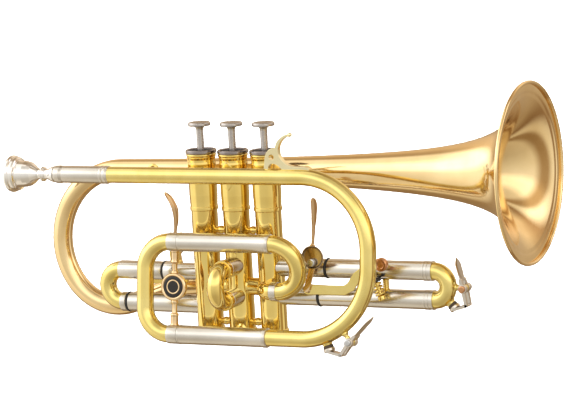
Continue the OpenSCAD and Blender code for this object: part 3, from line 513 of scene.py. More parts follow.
MAIN_DROP = hypot(LOW_Y - UP_Y, LOW_Z - UP_Z)
MAIN_TILT = -math.degrees(asin((UP_Y - LOW_Y) / MAIN_DROP))
END_UP, END_LOW, GAP_X, FERRULE_X = 37.8, 36.2, -32.6, -41.3


def bell_r(x):
    """Radius of the bell's outside at x."""
    return RIM_R * (9.8 / (FLARE_END - x)) ** FLARE_POWER


def tube_piece(name, node, body, mat, place, steps, outer=TUBE, inner=BORE, seg=56, fine=2.5):
    s = Shape()
    s.add(*sweep(bend_frames(place, steps, fine), outer, inner, seg))
    return s.make(name, body, mat, node)


# ---------------- bell and crook

s = Shape()
profile, inside = [], []
N = 150
for i in range(N + 1):
    x = RIM_X - (RIM_X - CROOK_X) * (1 - i / N) ** 2.1
    r = bell_r(x)
    slope = FLARE_POWER * r / (FLARE_END - x)
    n = hypot(slope, 1)
    profile.append((x, r))
    inside.append((x + BELL_WALL * slope / n, r - BELL_WALL / n))
bead = [(212.1 + 1.3 * cosd(a), 61.3 + 1.3 * sind(a)) for a in range(140, -150, -20)]
outer = [p for p in profile if p[0] < 211.2]
inner = [p for p in inside if p[0] < 210.6]
s.turned(outer + bead + inner[::-1], "x", (0, BELL_Y, 0), 160)
s.make("bell_flare", "horn", "rose", "bell", sharp=50)

CROOK_R = bell_r(CROOK_X)
neck = 9.0
start = place_at(CROOK_X, BELL_Y, 0, (180, "Z"))
rise, rise_cos = 0.352, 0.936
foot_z = -54 - 40.5 * rise_cos - 9.5 * 0.6
slope_l = (-84 - foot_z - 40 * (1 - rise_cos)) / rise
steps = [(0, 54, 90, 0), (0, 50, math.degrees(asin(0.6)), 0),
    (0, 40.5, math.degrees(asin(0.96)), 0), (slope_l, 40, math.degrees(asin(rise)), 180)]
crook = bend_frames(start, steps, 2)
level_x = crook[-1].translation.x
elbow_r = BELL_Y - CASING_EDGE
to_elbow = -25 - elbow_r - level_x
after = bend_frames(crook[-1], [(neck, 0, 0, 0), (to_elbow - neck, elbow_r, 90, -90),
    (6, 0, 0, 0)], 4)
whole = crook + after[1:]
length = [0]
for a, b in zip(whole, whole[1:]):
    length.append(length[-1] + (b.translation - a.translation).length)
turn_at = length[len(crook) - 1]


def crook_radius(d, total):
    t = min(1, max(0, (d - turn_at) / neck))
    t = t * t * (3 - 2 * t)
    return CROOK_R + (TUBE - CROOK_R) * t


s = Shape()
s.add(*meet_casing(sweep(whole, crook_radius, lambda d, t: crook_radius(d, t) - BELL_WALL, 64),
    VALVES[0], "y+"))
s.make("bell_crook_tube", "horn", "rose", "bell_crook")

# ---------------- leadpipe, bows, sleeves

front_frame = place_at(0, LEAD_Y, LEAD_Z, (FRONT_TILT, "X"))
s = Shape()
s.add(*sweep(bend_frames(front_frame @ place_at(-88, 0, 0),
    [(FRONT_X + 88, 50, 90, 0), (FRONT_DROP - 100, 50, 90, 0), (FRONT_X - END_LOW, 0, 0, 0)], 2),
    LEAD, LEAD - 0.5, 64))
key_centre = front_frame @ place_at(FRONT_X, 0, 50 - FRONT_DROP)


def radial(frame_at, angle, out):
    """Place on a bow at an angle from +X towards +Z; local +X points outwards."""
    return frame_at @ spin(-angle, "Y") @ place_at(out, 0, 0)


def spout(shape, place):
    prof = rounded([(-0.5, 1.6), (-0.5, 4), (0.3, 3.3), (1.4, 3.1), (1.4, 1.6)], [0, 0, 1, 0.3, 0],
        3)
    shape.turned(prof, "x", place, 32)


spout(s, radial(key_centre, FRONT_CUP, BOW_R + LEAD))
s.make("leadpipe_and_front_bow", "horn", "brass", "leadpipe")

s = Shape()
prof = [(-132, 5.06), (-132, 5.7), (-130.6, 6.35), (-127.2, 6.45), (-125.6, 6.1), (-125.2, 5.85),
    (-124.6, 6.2), (-94.9, 6.2), (-94.7, 6), (-94.4, 6.5), (-92.5, 6.5), (-92.2, 6.05),
    (-91.5, 6.05), (-91.2, 6.5), (-89.3, 6.5), (-89, 6.1), (-88, 6), (-88, 5.3), (-106, 5.3),
    (-107, 4.64)]
s.turned(prof, "x", (0, LEAD_Y, LEAD_Z), 80, [0, .3, .8, .8, .3, .2, .2, .15, .1, .3, .3, .1, .1,
    .3, .3, .1, .1, 0, 0, 0], 4)
s.make("mouthpiece_receiver", "horn", "nickel", "receiver", sharp=35)

s = Shape()
for x1, y, z in ((END_UP, UP_Y, UP_Z), (END_LOW, LOW_Y, LOW_Z)):
    prof = [(GAP_X, SLEEVE_IN), (GAP_X, RING - 0.1), (GAP_X + 0.8, RING - 0.1),
        (GAP_X + 1, SLEEVE), (x1 - 3.6, SLEEVE), (x1 - 3.4, RING - 0.05), (x1 - 0.4, RING - 0.05),
        (x1, 6.2), (x1, 5.3), (x1 - 3.4, 5.3), (x1 - 3.4, SLEEVE_IN)]
    s.turned(prof, "x", (0, y, z), 80, [0, .2, .2, .1, .1, .2, .3, .1, 0, 0, 0], 3)
knuckle_r = -RETURN_Y - CASING_EDGE
fx = 25 + knuckle_r
prof = [(fx, BORE), (fx, 6.5), (fx + 0.4, 6.75), (fx + 4.7, 6.75), (fx + 5.1, 6.5),
    (fx + 5.1, BORE)]
s.turned(prof, "x", (0, RETURN_Y, INLET_Z), 64, [0, .1, .2, .2, .1, 0], 3)
s.make("main_slide_sleeves", "horn", "nickel", "main_sleeves", sharp=35)

return_drop = hypot(RETURN_Y - UP_Y, INLET_Z - UP_Z)
tilt = math.degrees(asin((RETURN_Y - UP_Y) / return_drop))
tube_piece("return_bow_tube", "return_bow", "horn", "brass",
    place_at(END_UP, UP_Y, UP_Z, (tilt, "X")), [(0, return_drop / 2, 180, 0)])
s = Shape()
s.add(*meet_casing(sweep(bend_frames(place_at(fx, RETURN_Y, INLET_Z, (180, "Z")),
    [(0, knuckle_r, 90, -90), (6, 0, 0, 0)], 4), TUBE, BORE, 56), VALVES[2], "y-"))
s.make("inlet_knuckle_tube", "horn", "brass_gloss", "inlet_knuckle")

main_frame = place_at(0, UP_Y, UP_Z, (MAIN_TILT, "X"))
tube_piece("main_slide_tube", "main_slide_bow", "main_slide", "brass",
    main_frame @ place_at(FERRULE_X, 0, 0, (180, "Z")),
    [(0, 19, 90, 0), (MAIN_DROP - 38, 19, 90, 0)])
s = Shape()
for x1, y, z in ((END_UP - 4.4, UP_Y, UP_Z), (END_LOW - 4.4, LOW_Y, LOW_Z)):
    prof = [(FERRULE_X, BORE), (FERRULE_X, 6.3), (FERRULE_X + 0.4, SLEEVE), (GAP_X - 0.55, SLEEVE),
        (GAP_X - 0.4, SLEEVE - 0.2), (GAP_X - 0.4, TUBE), (x1, TUBE), (x1, BORE)]
    s.turned(prof, "x", (0, y, z), 80, [0, .1, .2, .1, .05, 0, 0, 0], 3)
s.make("main_slide_ferrules", "main_slide", "nickel", "main_slide_legs", sharp=35)

# ---------------- valve slides

tube_piece("first_slide_tube", "first_slide_bow", "first_slide", "brass",
    place_at(-94.8, 0, FIRST_Z[0], (180, "Z")), [(0, 11.6, 180, 0)])
s = Shape()
for x1, r_out, r_in, edge in ((-59.8, SLEEVE, SLEEVE_IN, 0.25),
        (-91.8, SLEEVE_IN + 0.02, BORE, 0)):
    prof = [(-94.8, r_in), (-94.8, r_out), (x1, r_out), (x1, r_in)]
    s.turned(prof, "x", (0, 0, FIRST_Z[0]), 64, [0, edge, edge, 0], 3)
prof = [(-94.8, BORE), (-94.8, RING - 0.2), (-94.5, RING), (-90.6, RING), (-90.3, RING - 0.3),
    (-90.3, TUBE), (-44, TUBE), (-44, BORE)]
s.turned(prof, "x", (0, 0, FIRST_Z[1]), 64, [0, .1, .2, .2, .1, 0, 0, 0], 3)
s.make("first_slide_sleeves", "first_slide", "nickel", "first_slide_legs", sharp=35)

tube_piece("second_slide_tube", "second_slide_bow", "second_slide", "brass_gloss",
    place_at(0, -27.1, -63.2, (-90, "Z")), [(0, 10.9, 180, 0)])
s = Shape()
for z in SECOND_Z:
    prof = [(-27.1, BORE), (-27.1, 6.7), (-26.8, RING), (-22.7, RING), (-22.4, 6.7), (-22.4, TUBE),
        (-11.5, TUBE), (-11.5, BORE)]
    s.turned(prof, "y", (0, 0, z), 64, [0, .1, .2, .2, .1, 0, 0, 0], 3)
s.make("second_slide_ferrules", "second_slide", "brass_gloss", "second_slide_legs", sharp=35)

s = Shape()
s.add(*sweep(bend_frames(place_at(148, 0, THIRD_Z[0]), [(0, 10, 180, 0)], 3), TUBE, BORE, 56))
third_centre = place_at(148, 0, -74.5)
spout(s, radial(third_centre, THIRD_CUP, THIRD_BOW_R + TUBE))
s.make("third_slide_tube", "third_slide", "brass", "third_slide_bow")
s = Shape()
for z, x0 in ((THIRD_Z[0], 70), (THIRD_Z[1], 63.4)):
    prof = [(x0, SLEEVE_IN), (x0, SLEEVE)]
    for x in (141.3, 143.7, 146.8):
        prof += [(x - 0.05, SLEEVE), (x, RING), (x + 1.2, RING), (x + 1.25, SLEEVE)]
    prof = prof[:-1] + [(148, 6.7), (148, BORE), (141.3, BORE), (141.3, SLEEVE_IN)]
    s.turned(prof, "x", (0, 0, z), 72, [0, .25] + [0, .25, .25, 0] * 2 + [0, .25, .2, 0, 0, 0, 0],
        3)
s.make("third_slide_sleeve_pair", "third_slide", "nickel", "third_slide_sleeves", sharp=35)

s = Shape()
# first slide: upper tube with its ring, lower sleeve
prof = [(-88, BORE), (-88, TUBE), (-58, TUBE), (-58, 6.8), (-57.7, RING), (-51.3, RING),
    (-51, 6.7), (-51, TUBE), (-27, TUBE), (-27, BORE)]
s.add(*meet_casing(lathe(prof, "x", (0, 0, FIRST_Z[0]), 64), VALVES[0], "x-"))
prof = [(-88.5, SLEEVE_IN), (-88.5, SLEEVE - 0.2), (-88.3, SLEEVE), (-27, SLEEVE),
    (-27, SLEEVE_IN)]
s.add(*meet_casing(lathe(prof, "x", (0, 0, FIRST_Z[1]), 64), VALVES[0], "x-"))
for z in SECOND_Z:
    prof = [(-22, SLEEVE_IN), (-22, SLEEVE - 0.2), (-21.8, SLEEVE), (-2, SLEEVE), (-2, SLEEVE_IN)]
    s.add(*meet_casing(lathe(prof, "y", (0, 0, z), 64), 0, "y-"))
for z, x0 in ((THIRD_Z[0], 68.2), (THIRD_Z[1], 61.6)):
    prof = [(27, BORE), (27, SLEEVE), (x0 - 0.3, SLEEVE), (x0, SLEEVE - 0.3), (x0, TUBE),
        (136, TUBE), (136, BORE)]
    s.add(*meet_casing(lathe(prof, "x", (0, 0, z), 64), VALVES[2], "x+"))
s.make("fixed_slide_tubes", "horn", "nickel", "slide_port_tubes", sharp=35)

s = Shape()
for x0, z in ((-59.4, FIRST_Z[0]), (-89.9, FIRST_Z[1]), (68.2, THIRD_Z[0]), (61.6, THIRD_Z[1])):
    prof = [(x0 + 0.7 + 0.7 * cosd(a), 6.6 + 0.65 * sind(a)) for a in range(0, 360, 30)]
    s.turned(prof, "x", (0, 0, z), 64)
s.make("slide_stop_rings", "horn", "rubber", "slide_bumpers", sharp=60)

# ---------------- valves

TOP, STEP, BOTTOM = 13.1, -23.5, -111.5
for k, x in enumerate(VALVES, 1):
    s = Shape()
    prof = [(BOTTOM, 8.55), (BOTTOM, 10), (BOTTOM + 2.7, 10), (BOTTOM + 3.1, 9.3),
        (STEP - 1.3, 9.3), (STEP - 1.1, 10), (STEP + 1.2, 10), (STEP + 1.5, 9.65), (-18.5, 9.78),
        (-14, 10), (8.2, 10), (9.6, 9.75), (11, 9.75), (12.4, 10.15), (TOP, 10.3), (TOP, 9),
        (STEP, 9), (STEP, 8.55)]
    s.turned(prof, "z", (x, 0, 0), 96, [0, .3, .4, .2, .3, .35, .35, .3, 3, 3, 2, 1, .1, .25, .25,
        0, 0, 0], 4)
    prof = [(TOP + 0.02, 9.2), (TOP + 0.02, 10.25), (TOP + 0.9, 10.55), (TOP + 1.5, 10.6),
        (TOP + 2, 10.3), (TOP + 2, 9.2)]
    s.turned(prof, "z", (x, 0, 0), 96, [0, .1, .3, .3, .1, 0], 3)
    s.make("casing_%d" % k, "horn", "brass_gloss", "valve_casing_%d" % k, sharp=35)

    s = Shape()
    r = 8.0
    prof = [(33.9, 0), (33.9, 3.2), (34.3, 5.4), (34.4, r - 0.5), (34.9, r), (36.3, r),
        (37.1, r - 0.6), (37.3, r - 1.4), (37.05, r - 2.4), (36.95, 3), (36.95, 0)]
    s.turned(prof, "z", (x, 0, 0), 80, [0, 0, 1, .3, .3, .5, .5, .5, .6, 2, 0], 4)
    s.make("finger_button_%d" % k, "valve_%d" % k, "button", "button_%d" % k, sharp=60)

    s = Shape()
    prof = [(7.8, 0), (7.8, 6.8), (10.3, 6.8), (10.3, 3.2), (10.8, 2.6), (31.4, 2.6), (32.8, 2.85),
        (33.9, 3.6), (33.9, 0)]
    s.turned(prof, "z", (x, 0, 0), 48, [0, .2, .2, .2, .4, .3, 1, .2, 0], 4)
    s.make("valve_stem_%d" % k, "valve_%d" % k, "button", "stem_%d" % k, sharp=50)

    s = Shape()
    s.add(*coil((x, 0, -21.5), 5.6, 0.5, 29.3, 7.5))
    wire = s.make("valve_coil_%d" % k, "horn", "steel", "valve_spring_%d" % k, sharp=60)
    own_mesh(wire)

for name, parts, mat, node in (("valve_top_caps", [[(TOP, 2.75), (TOP, 8), (TOP - 4, 8),
        (TOP - 4, 8.95), (TOP, 8.95), (TOP + 2.1, 9.1), (TOP + 2.1, 10.3), (TOP + 2.5, 10.95),
        (TOP + 4.2, 10.95), (TOP + 4.9, 10.3), (TOP + 4.9, 9.6), (TOP + 4.5, 8.95),
        (TOP + 1.5, 8.95), (TOP + 1.5, 2.75)]], "cap", "top_caps"),
        ("valve_bottom_caps", [[(BOTTOM - 7, 0), (BOTTOM - 7, 5), (BOTTOM - 6, 5),
        (BOTTOM - 6, 9.2), (BOTTOM - 5.2, 10.3), (BOTTOM, 10.3), (BOTTOM, 8.55),
        (BOTTOM - 4.5, 8.55), (BOTTOM - 4.5, 0)]], "nickel_gloss", "bottom_caps"),
        ("valve_felts", [[(TOP + 1.5, 2.8), (TOP + 1.5, 8.7), (TOP + 3.9, 8.75), (TOP + 3.9, 3.95),
        (TOP + 2.5, 3)], [(10.7, 2.8), (10.7, 7.5), (TOP, 7.5), (TOP, 2.8)]], "felt",
        "cap_felts")):
    s = Shape()
    for x in VALVES:
        for prof in parts:
            rad = [0] + [0.3] * (len(prof) - 2) + [0]
            s.turned(prof, "z", (x, 0, 0), 96, rad, 3)
    s.make(name, "horn", mat, node, sharp=35)

# ---------------- connectors and braces


s = Shape()
for x0 in VALVES[:2]:
    c = x0 + 12.5
    prof = [(c - 5.6, 0), (c - 5.6, 7), (c - 4.2, 6.15), (c + 4.2, 6.15), (c + 5.6, 7),
        (c + 5.6, 0)]
    tube = lathe(rounded(prof, [0, .3, 1.5, 1.5, .3, 0], 5), "x", (0, 0, INLET_Z), 48)
    s.add(*meet_casing(meet_casing(tube, c - 12.5, "x+"), c + 12.5, "x-"))
s.make("casing_connector_tubes", "horn", "brass_gloss", "casing_connectors")

s = Shape()
for x0 in VALVES[:2]:
    c = x0 + 12.5
    for z in (-39, -104):
        prof = [(c - 4, 0), (c - 3.6, 3), (c - 2.8, 1.9), (c - 2.2, 2.1)]
        prof += [(c + 3 * sind(a), 3 * cosd(a)) for a in range(-45, 46, 9)]
        prof += [(c + 2.2, 2.1), (c + 2.8, 1.9), (c + 3.6, 3), (c + 4, 0)]
        s.turned(prof, "x", (0, 0, z), 40)
s.make("casing_ball_braces", "horn", "brass_gloss", "casing_braces")


def turned_post(shape, x, z, y0, y1, r, place=None):
    """Post along Y with a bead at its middle and flared feet."""
    mid = (y0 + y1) / 2
    prof = [(y0, 0), (y0, r * 2.1), (y0 + 0.6, r * 2.1), (y0 + 1.3, r * 1.35), (y0 + 3.2, r),
        (mid - r * 1.5, r)]
    prof += [(mid + r * 1.5 * sind(a), r * 0.2 + r * 1.35 * cosd(a)) for a in range(-50, 51, 10)]
    prof += [(mid + r * 1.5, r), (y1 - 3.2, r), (y1 - 1.3, r * 1.35), (y1 - 0.6, r * 2.1),
        (y1, r * 2.1), (y1, 0)]
    shape.turned(prof, "y", (x, 0, z), 40, 0.35, 3)


s = Shape()
for x in (-72, 51):
    turned_post(s, x, 1, LEAD_Y + 5.2, BELL_Y - bell_r(x) + 0.25, 2)
for x in (VALVES[0], VALVES[2]):
    y1 = BELL_Y - bell_r(x)
    prof = [(9.4, 0), (9.4, 4), (10.6, 3.2), (y1 - 0.9, 3.2), (y1 + 0.25, 4.2), (y1 + 0.25, 0)]
    s.turned(prof, "y", (x, 0, -3), 40, .4, 3)
s.make("bell_stay_posts", "horn", "brass_gloss", "bell_braces")

s = Shape()
# pointed plate wrapped on the middle casing
h, w, zc = 10.4, 5.2, 0.6
R = (h * h + w * w) / (2 * w)
verts, faces = [], []
rows, cols = 24, 8
for layer, rad in ((0, 10.75), (1, 9.9)):
    for i in range(rows + 1):
        t = -1 + 2 * i / rows
        z = zc + h * t
        half = max(0.02, math.sqrt(max(0, R * R - (h * t) ** 2)) - (R - w))
        for j in range(cols + 1):
            x = half * (-1 + 2 * j / cols)
            a = x / 10.3
            edge = 0.22 * max(0, (abs(-1 + 2 * j / cols)) ** 6) if layer == 0 else 0
            rr = rad - edge
            verts.append((rr * sin(a), -rr * cos(a), z))
per = (rows + 1) * (cols + 1)
for i in range(rows):
    for j in range(cols):
        a = i * (cols + 1) + j
        faces.append((a, a + 1, a + cols + 2, a + cols + 1))
        faces.append((per + a, per + a + cols + 1, per + a + cols + 2, per + a + 1))
ring = ([j for j in range(cols + 1)] + [i * (cols + 1) + cols for i in range(1, rows + 1)]
    + [rows * (cols + 1) + j for j in range(cols - 1, -1, -1)]
    + [i * (cols + 1) for i in range(rows - 1, 0, -1)])
for a, b in zip(ring, ring[1:] + ring[:1]):
    faces.append((a, per + a, per + b, b))
s.add(verts, faces)
prof = [(-15.2, 0), (-15.2, 4.2), (-14.4, 3.1), (-11.4, 3.1), (-10.4, 4.4), (-10.2, 0)]
s.turned(prof, "y", (0, 0, LEAD_Z - 0.6), 40, .5, 3)
for y, z in ((UP_Y, UP_Z), (LOW_Y, LOW_Z)):
    turned_post(s, 3, z, y + SLEEVE - 0.5, -8.4, 2.1)
s.make("casing_to_pipe_braces", "horn", "brass_gloss", "pipe_braces", sharp=35)

# ---------------- finger hook

foot = LEAD_Z + LEAD


def flat_curve(points, n=6):
    return [(p.x, p.z) for p in smooth_path([(x, 0, z) for x, z in points], n)]


arm_back = [(53.3, 31.7), (51, 31), (48.8, 29.7), (46.6, 27.9), (44.7, 25.5), (43.7, 22.7)]
shoulder = [(42.4, 22), (40.9, 21.8), (38.8, 20.8), (36.9, 18.6), (35.7, 15.7), (35, 11.4),
    (34.5, foot)]
arch = [(37.6, 7), (38.2, 9.5), (40, 11), (42.6, 11.1), (45.2, 9.9), (47.2, 8.3), (48.6, 7)]
front = [(68.8, 6.9), (68.3, 8.2), (65, 9.2), (59, 9.3), (55, 9.8), (51.6, 11.2), (48.6, 13.8),
    (46.7, 16.8), (46, 19.6), (46.2, 22.2), (47.2, 24.8), (48.9, 27.2), (51.3, 29), (54.2, 30.2)]
outline = (flat_curve(arm_back) + flat_curve(shoulder) + flat_curve(arch)
    + [(56, 7), (62, 6.9), (67.4, 6.4)] + flat_curve(front))
hole = arc_points(40.6, 15.7, 1.9, 0, 345, 23)
s = Shape()
s.add(*plate(outline, LEAD_Y - 2.1, LEAD_Y + 2.1, [hole]))
s.make("finger_hook_plate", "horn", "cream", "finger_hook", bevel=0.55)
s = Shape()
prof = [(-1.6 * cosd(a), 1.6 * sind(a)) for a in range(0, 181, 15)]
s.turned(prof, "x", (54.6, LEAD_Y, 31.1), 32)
s.make("finger_hook_ball", "horn", "cream", sharp=80)

# ---------------- main slide upright and badge

brace = main_frame @ place_at(-37, 0, 0)
drop = MAIN_DROP * 0.485
s = Shape()


top = [(-6.2, 0), (-6.3, 3.4), (-7.6, 2.7), (-12.4, 2.6), (-13, 2.9), (-13.8, 3.1), (-14.6, 2.8),
    (-15.2, 1.9), (-19.6, 1.75), (-20.6, 2.4), (-21.6, 2.6), (-22.4, 2.1), (-22.6, 0)]
s.turned(top, "z", brace, 40, .35, 3)
low = [(-(drop + u), r) for u, r in ((9, 0), (9.2, 2.1), (10.2, 2.6), (11.2, 2.4), (12.2, 1.75))]
low += [(-(MAIN_DROP + u), r) for u, r in top[7::-1]]
s.turned(low, "z", brace, 40, .35, 3)
badge_at = brace @ place_at(0, 0, -drop)
prof = [(1.1, 0), (1.1, 9), (0.4, 9.6), (-2.2, 9.7), (-2.9, 9), (-3, 8.2), (-2.6, 7.6),
    (-1.5, 7.5), (-1.5, 0)]
s.turned(prof, "y", badge_at, 72, .4, 4)
s.make("main_slide_upright", "main_slide", "lever", "main_slide_brace")
s = Shape()
prof = [(-1.5, 0), (-1.5, 7.45), (-2.5, 7.45), (-2.62, 6.5), (-2.7, 3.5), (-2.7, 0)]
s.turned(prof, "y", badge_at, 64, [0, 0, .15, 4, 3, 0], 4)
s.make("badge_disc", "main_slide", "enamel", "badge")
s = Shape()
prof = [(-2.66 - 0.10 * sind(a), 4.6 + 0.42 * cosd(a)) for a in range(0, 360, 45)]
s.turned(prof, "y", badge_at, 56)
s.make("badge_inlay", "main_slide", "lever", sharp=60)

# ---------------- triggers


def spoon(shape, spine, widths, thick, y_mid):
    """Leaf-shaped finger plate along a spine of (x, z) points, dished across its width."""
    pts = smooth_path([(x, 0, z) for x, z in spine], 8)
    n = len(pts)
    across = 10
    verts, faces = [], []
    rows = []
    for i, p in enumerate(pts):
        t = i / (n - 1)
        k = t * (len(widths) - 1)
        j = min(int(k), len(widths) - 2)
        u = k - j
        u = u * u * (3 - 2 * u)
        w = widths[j] * (1 - u) + widths[j + 1] * u
        if t > 0.9:
            w *= math.sqrt(max(0.07, 1 - ((t - 0.9) / 0.1) ** 2))
        a, b = pts[max(i - 1, 0)], pts[min(i + 1, n - 1)]
        head = (b - a).normalized()
        side = Vector((head.z, 0, -head.x))
        row = []
        for face, order in ((1, range(across + 1)), (-1, range(across - 1, 0, -1))):
            for m in order:
                q = -1 + 2 * m / across
                base = p + side * (0.12 * w * (q * q - 0.4))
                half = face * thick * 0.5 * math.sqrt(max(0, 1 - abs(q) ** 4))
                row.append(len(verts))
                verts.append((base.x + side.x * half, y_mid + q * w / 2, base.z + side.z * half))
        rows.append(row)
    for a, b in zip(rows, rows[1:]):
        skin(faces, a, b)
    faces += [tuple(rows[0]), tuple(rows[-1])]
    shape.add(verts, faces)


def bar_outline(points, widths, n=10):
    """Outline of a tapering bar through points, with round ends."""
    pts = [Vector(p) for p in points]
    left, right = [], []
    m = len(pts)
    for i, p in enumerate(pts):
        d = (pts[min(i + 1, m - 1)] - pts[max(i - 1, 0)]).normalized()
        nrm = Vector((-d.y, d.x))
        left.append(tuple(p + nrm * widths[i] / 2))
        right.append(tuple(p - nrm * widths[i] / 2))
    d0 = (pts[1] - pts[0]).normalized()
    a0 = math.degrees(atan2(d0.y, d0.x))
    start_cap = arc_points(pts[0].x, pts[0].y, widths[0] / 2, a0 + 270, a0 + 90, n)[1:-1]
    d1 = (pts[-1] - pts[-2]).normalized()
    a1 = math.degrees(atan2(d1.y, d1.x))
    end_cap = arc_points(pts[-1].x, pts[-1].y, widths[-1] / 2, a1 + 90, a1 - 90, n)[1:-1]
    return left + end_cap + right[::-1] + start_cap


def hub(shape, x, z, y0, y1, r):
    prof = [(y0, 0), (y0, r - 0.4), (y0 + 0.4, r), (y1 - 0.4, r), (y1, r - 0.4), (y1, 0)]
    shape.turned(prof, "y", (x, 0, z), 40, .2, 2)


T1, T3 = (-54, -57), (62.3, -58.6)
P1 = (T1[0] + ARM * sind(FIRST_SWING), T1[1] - ARM * cosd(FIRST_SWING))
P3 = (T3[0] - ARM * sind(THIRD_SWING), T3[1] - ARM * cosd(THIRD_SWING))

s = Shape()
hub(s, *T1, LEVER_IN, HUB_OUT, 3.6)
s.bar([T1, (T1[0] + 1.6, T1[1] - 7), P1], [5, 4.2, 4.4], LEVER_IN, LEVER_OUT)
s.bar([T1, (-54.9, -51), (-55.3, -45.6)], [5, 4, 3.6], LEVER_IN, LEVER_OUT)
hub(s, *P1, 7.05, 9.4, 1.5)
s.make("first_trigger_lever", "first_lever", "lever", "first_trigger", bevel=0.3)
s = Shape()
spoon(s, [(-55.4, -48), (-54.6, -42), (-53.7, -35), (-54.2, -27), (-57.2, -20), (-61.2, -14.8)],
    [3, 4.2, 7, 8.8, 8, 5], 1.3, 9.9)
s.make("first_trigger_spoon", "first_lever", "lever", sharp=50)

s = Shape()
hub(s, *T3, -HUB_OUT, -LEVER_IN, 3.6)
s.bar([T3, (T3[0] - 1.9, T3[1] - 7), P3], [5, 4.2, 4.4], -LEVER_OUT, -LEVER_IN)
s.bar([T3, (62.2, -53), (62.4, -47.6)], [5.4, 4.4, 3.8], -LEVER_OUT, -LEVER_IN)
hub(s, *P3, -9.4, -7.05, 1.5)
s.make("third_trigger_lever", "third_lever", "lever", "third_trigger", bevel=0.3)

# trigger housing: its dark brown colour is painted shade of the hollow dish
s = Shape()
prof = [(-10.75, 0), (-10.75, 7.6), (-12.4, 8.3), (-12.8, 8.1), (-12.8, 7.6), (-11.5, 6.8),
    (-11.05, 0)]
s.turned(prof, "y", (T3[0] + 0.8, 0, T3[1] + 3.6), 56, [0, .2, .2, .15, .2, .6, 0], 3)
s.make("third_trigger_housing", "third_lever", "dark_dish", sharp=45)
s = Shape()
spoon(s, [(62.2, -50), (63, -44), (63.9, -36), (64.5, -28), (64.9, -20), (64.6, -13.9)],
    [3.4, 3.6, 4.4, 8, 9.6, 7.6], 1.3, -9.9)
s.make("third_trigger_spoon", "third_lever", "lever", sharp=50)


def slot_outline(x, z, drop_by, w):
    return arc_points(x, z, w / 2, 0, 180, 8) + arc_points(x, z - drop_by, w / 2, 180, 360, 8)


s = Shape()
zc = P1[1] - 0.3
s.add(*plate(bar_outline([(-76, zc), (-64, zc), (P1[0], zc)], [7.6, 7.2, 7.6], 14), 7.1, 8.6,
    [slot_outline(P1[0], P1[1], ARM * (1 - cosd(FIRST_SWING)), 3.9)]))
s.bar([(-76, -73), (-66, -73)], [4.6, 4.6], 5.7, 7.5)
s.make("first_slide_link", "first_slide", "brass_gloss", "first_link", bevel=0.25)

s = Shape()
zc = P3[1] - 0.45
s.add(*plate(bar_outline([(P3[0], zc), (72, zc - 0.1), (84, zc), (89, zc + 2.6), (94, -68.2),
    (100, -63.8), (107, -60.6), (113, -59.4)], [7.2, 6.4, 6.6, 6.8, 6.6, 6, 6.2, 8], 14), -8.6,
    -7.1, [slot_outline(P3[0], P3[1], ARM * (1 - cosd(THIRD_SWING)), 3.9)]))
s.bar([(107, -60), (113, -60)], [6, 6], -7.4, -4.6)
s.make("third_slide_link", "third_slide", "brass", "third_link", bevel=0.3)

s = Shape()
prof = [(-79.4, 0), (-79.2, 4.4), (-78.2, 3), (-77.4, 1.7)]
for k in range(5):
    zc = -77.3 + 1.4 * k
    prof += [(zc + 0.6 * -cosd(a), 1.75 + 0.65 * sind(a)) for a in range(20, 161, 35)]
prof += [(-71, 1.7), (-70.6, 3), (-70.1, 4.4), (-69.9, 0)]
s.turned(prof, "z", (112, 0, 0), 40)
s.make("third_slide_upright", "third_slide", "brass_gloss", "third_slide_brace")

# spring rod in front of the third slide's legs, under the end of its link
LEAN = place_at(109.6, -9, -74.5) @ spin(-20, "Y")
s = Shape()
prof = [(-10.2, 0), (-10.2, 2.3), (-9.6, 2.9), (-7.2, 2.9), (-6.6, 2.2), (-5.8, 1.5), (5.9, 1.5),
    (6.1, 2.4), (8.2, 2.4), (8.6, 1.6), (9.6, 1.4), (9.6, 0)]
s.turned(prof, "z", LEAN, 36, [0, .3, .3, .3, .3, .3, .2, .3, .3, .3, .2, 0], 3)
s.add(*coil((0, 0, -6.4), 2.9, 0.72, 9.2, 5, 28, 10), LEAN)
s.make("third_link_coil", "third_slide", "brass_gloss", sharp=60)
s = Shape()
prof = [(3, 3.6), (3.5, 4.25), (4.3, 4.5), (5.1, 4.25), (5.6, 3.6), (5.1, 2.9), (4.3, 2.6),
    (3.5, 2.9)]
s.turned(prof, "z", LEAN, 48)
s.make("third_link_buffer", "third_slide", "rubber", sharp=80)

s = Shape()
for (x, z), y0, y1, dz in ((T1, 4.4, 8.6, FIRST_Z[0]), (T3, -8.6, -4.4, THIRD_Z[0])):
    s.add(*plate(bar_outline([(x, z), (x, (z + dz) / 2 + 0.5), (x, dz + 5.6)], [7.2, 6.6, 8.6]),
        min(y0, y1), max(y0, y1)))
s.make("trigger_mount_posts", "horn", "brass_gloss", "trigger_posts", bevel=0.5)

# ---------------- screws and springs


def screw(shape, place, y_tip, y_head, head_r=2.7):
    side = 1 if y_head > y_tip else -1
    prof = [(y_tip, 0), (y_tip, 1.5), (y_head - side * 1, 1.5), (y_head - side * 1, head_r),
        (y_head - side * 0.25, head_r), (y_head, head_r - 0.7), (y_head, 0)]
    shape.turned(prof, "y", place, 32, .15, 2)


def spring_y(shape, place, y0):
    shape.add(*coil((0, 0, 0), 2.25, 0.28, 2, 3.2, 28, 8),
        place @ place_at(0, y0, 0) @ Matrix.Rotation(-pi / 2, 4, "X"))


def polar(r, a):
    return (r * cosd(a), r * sind(a))


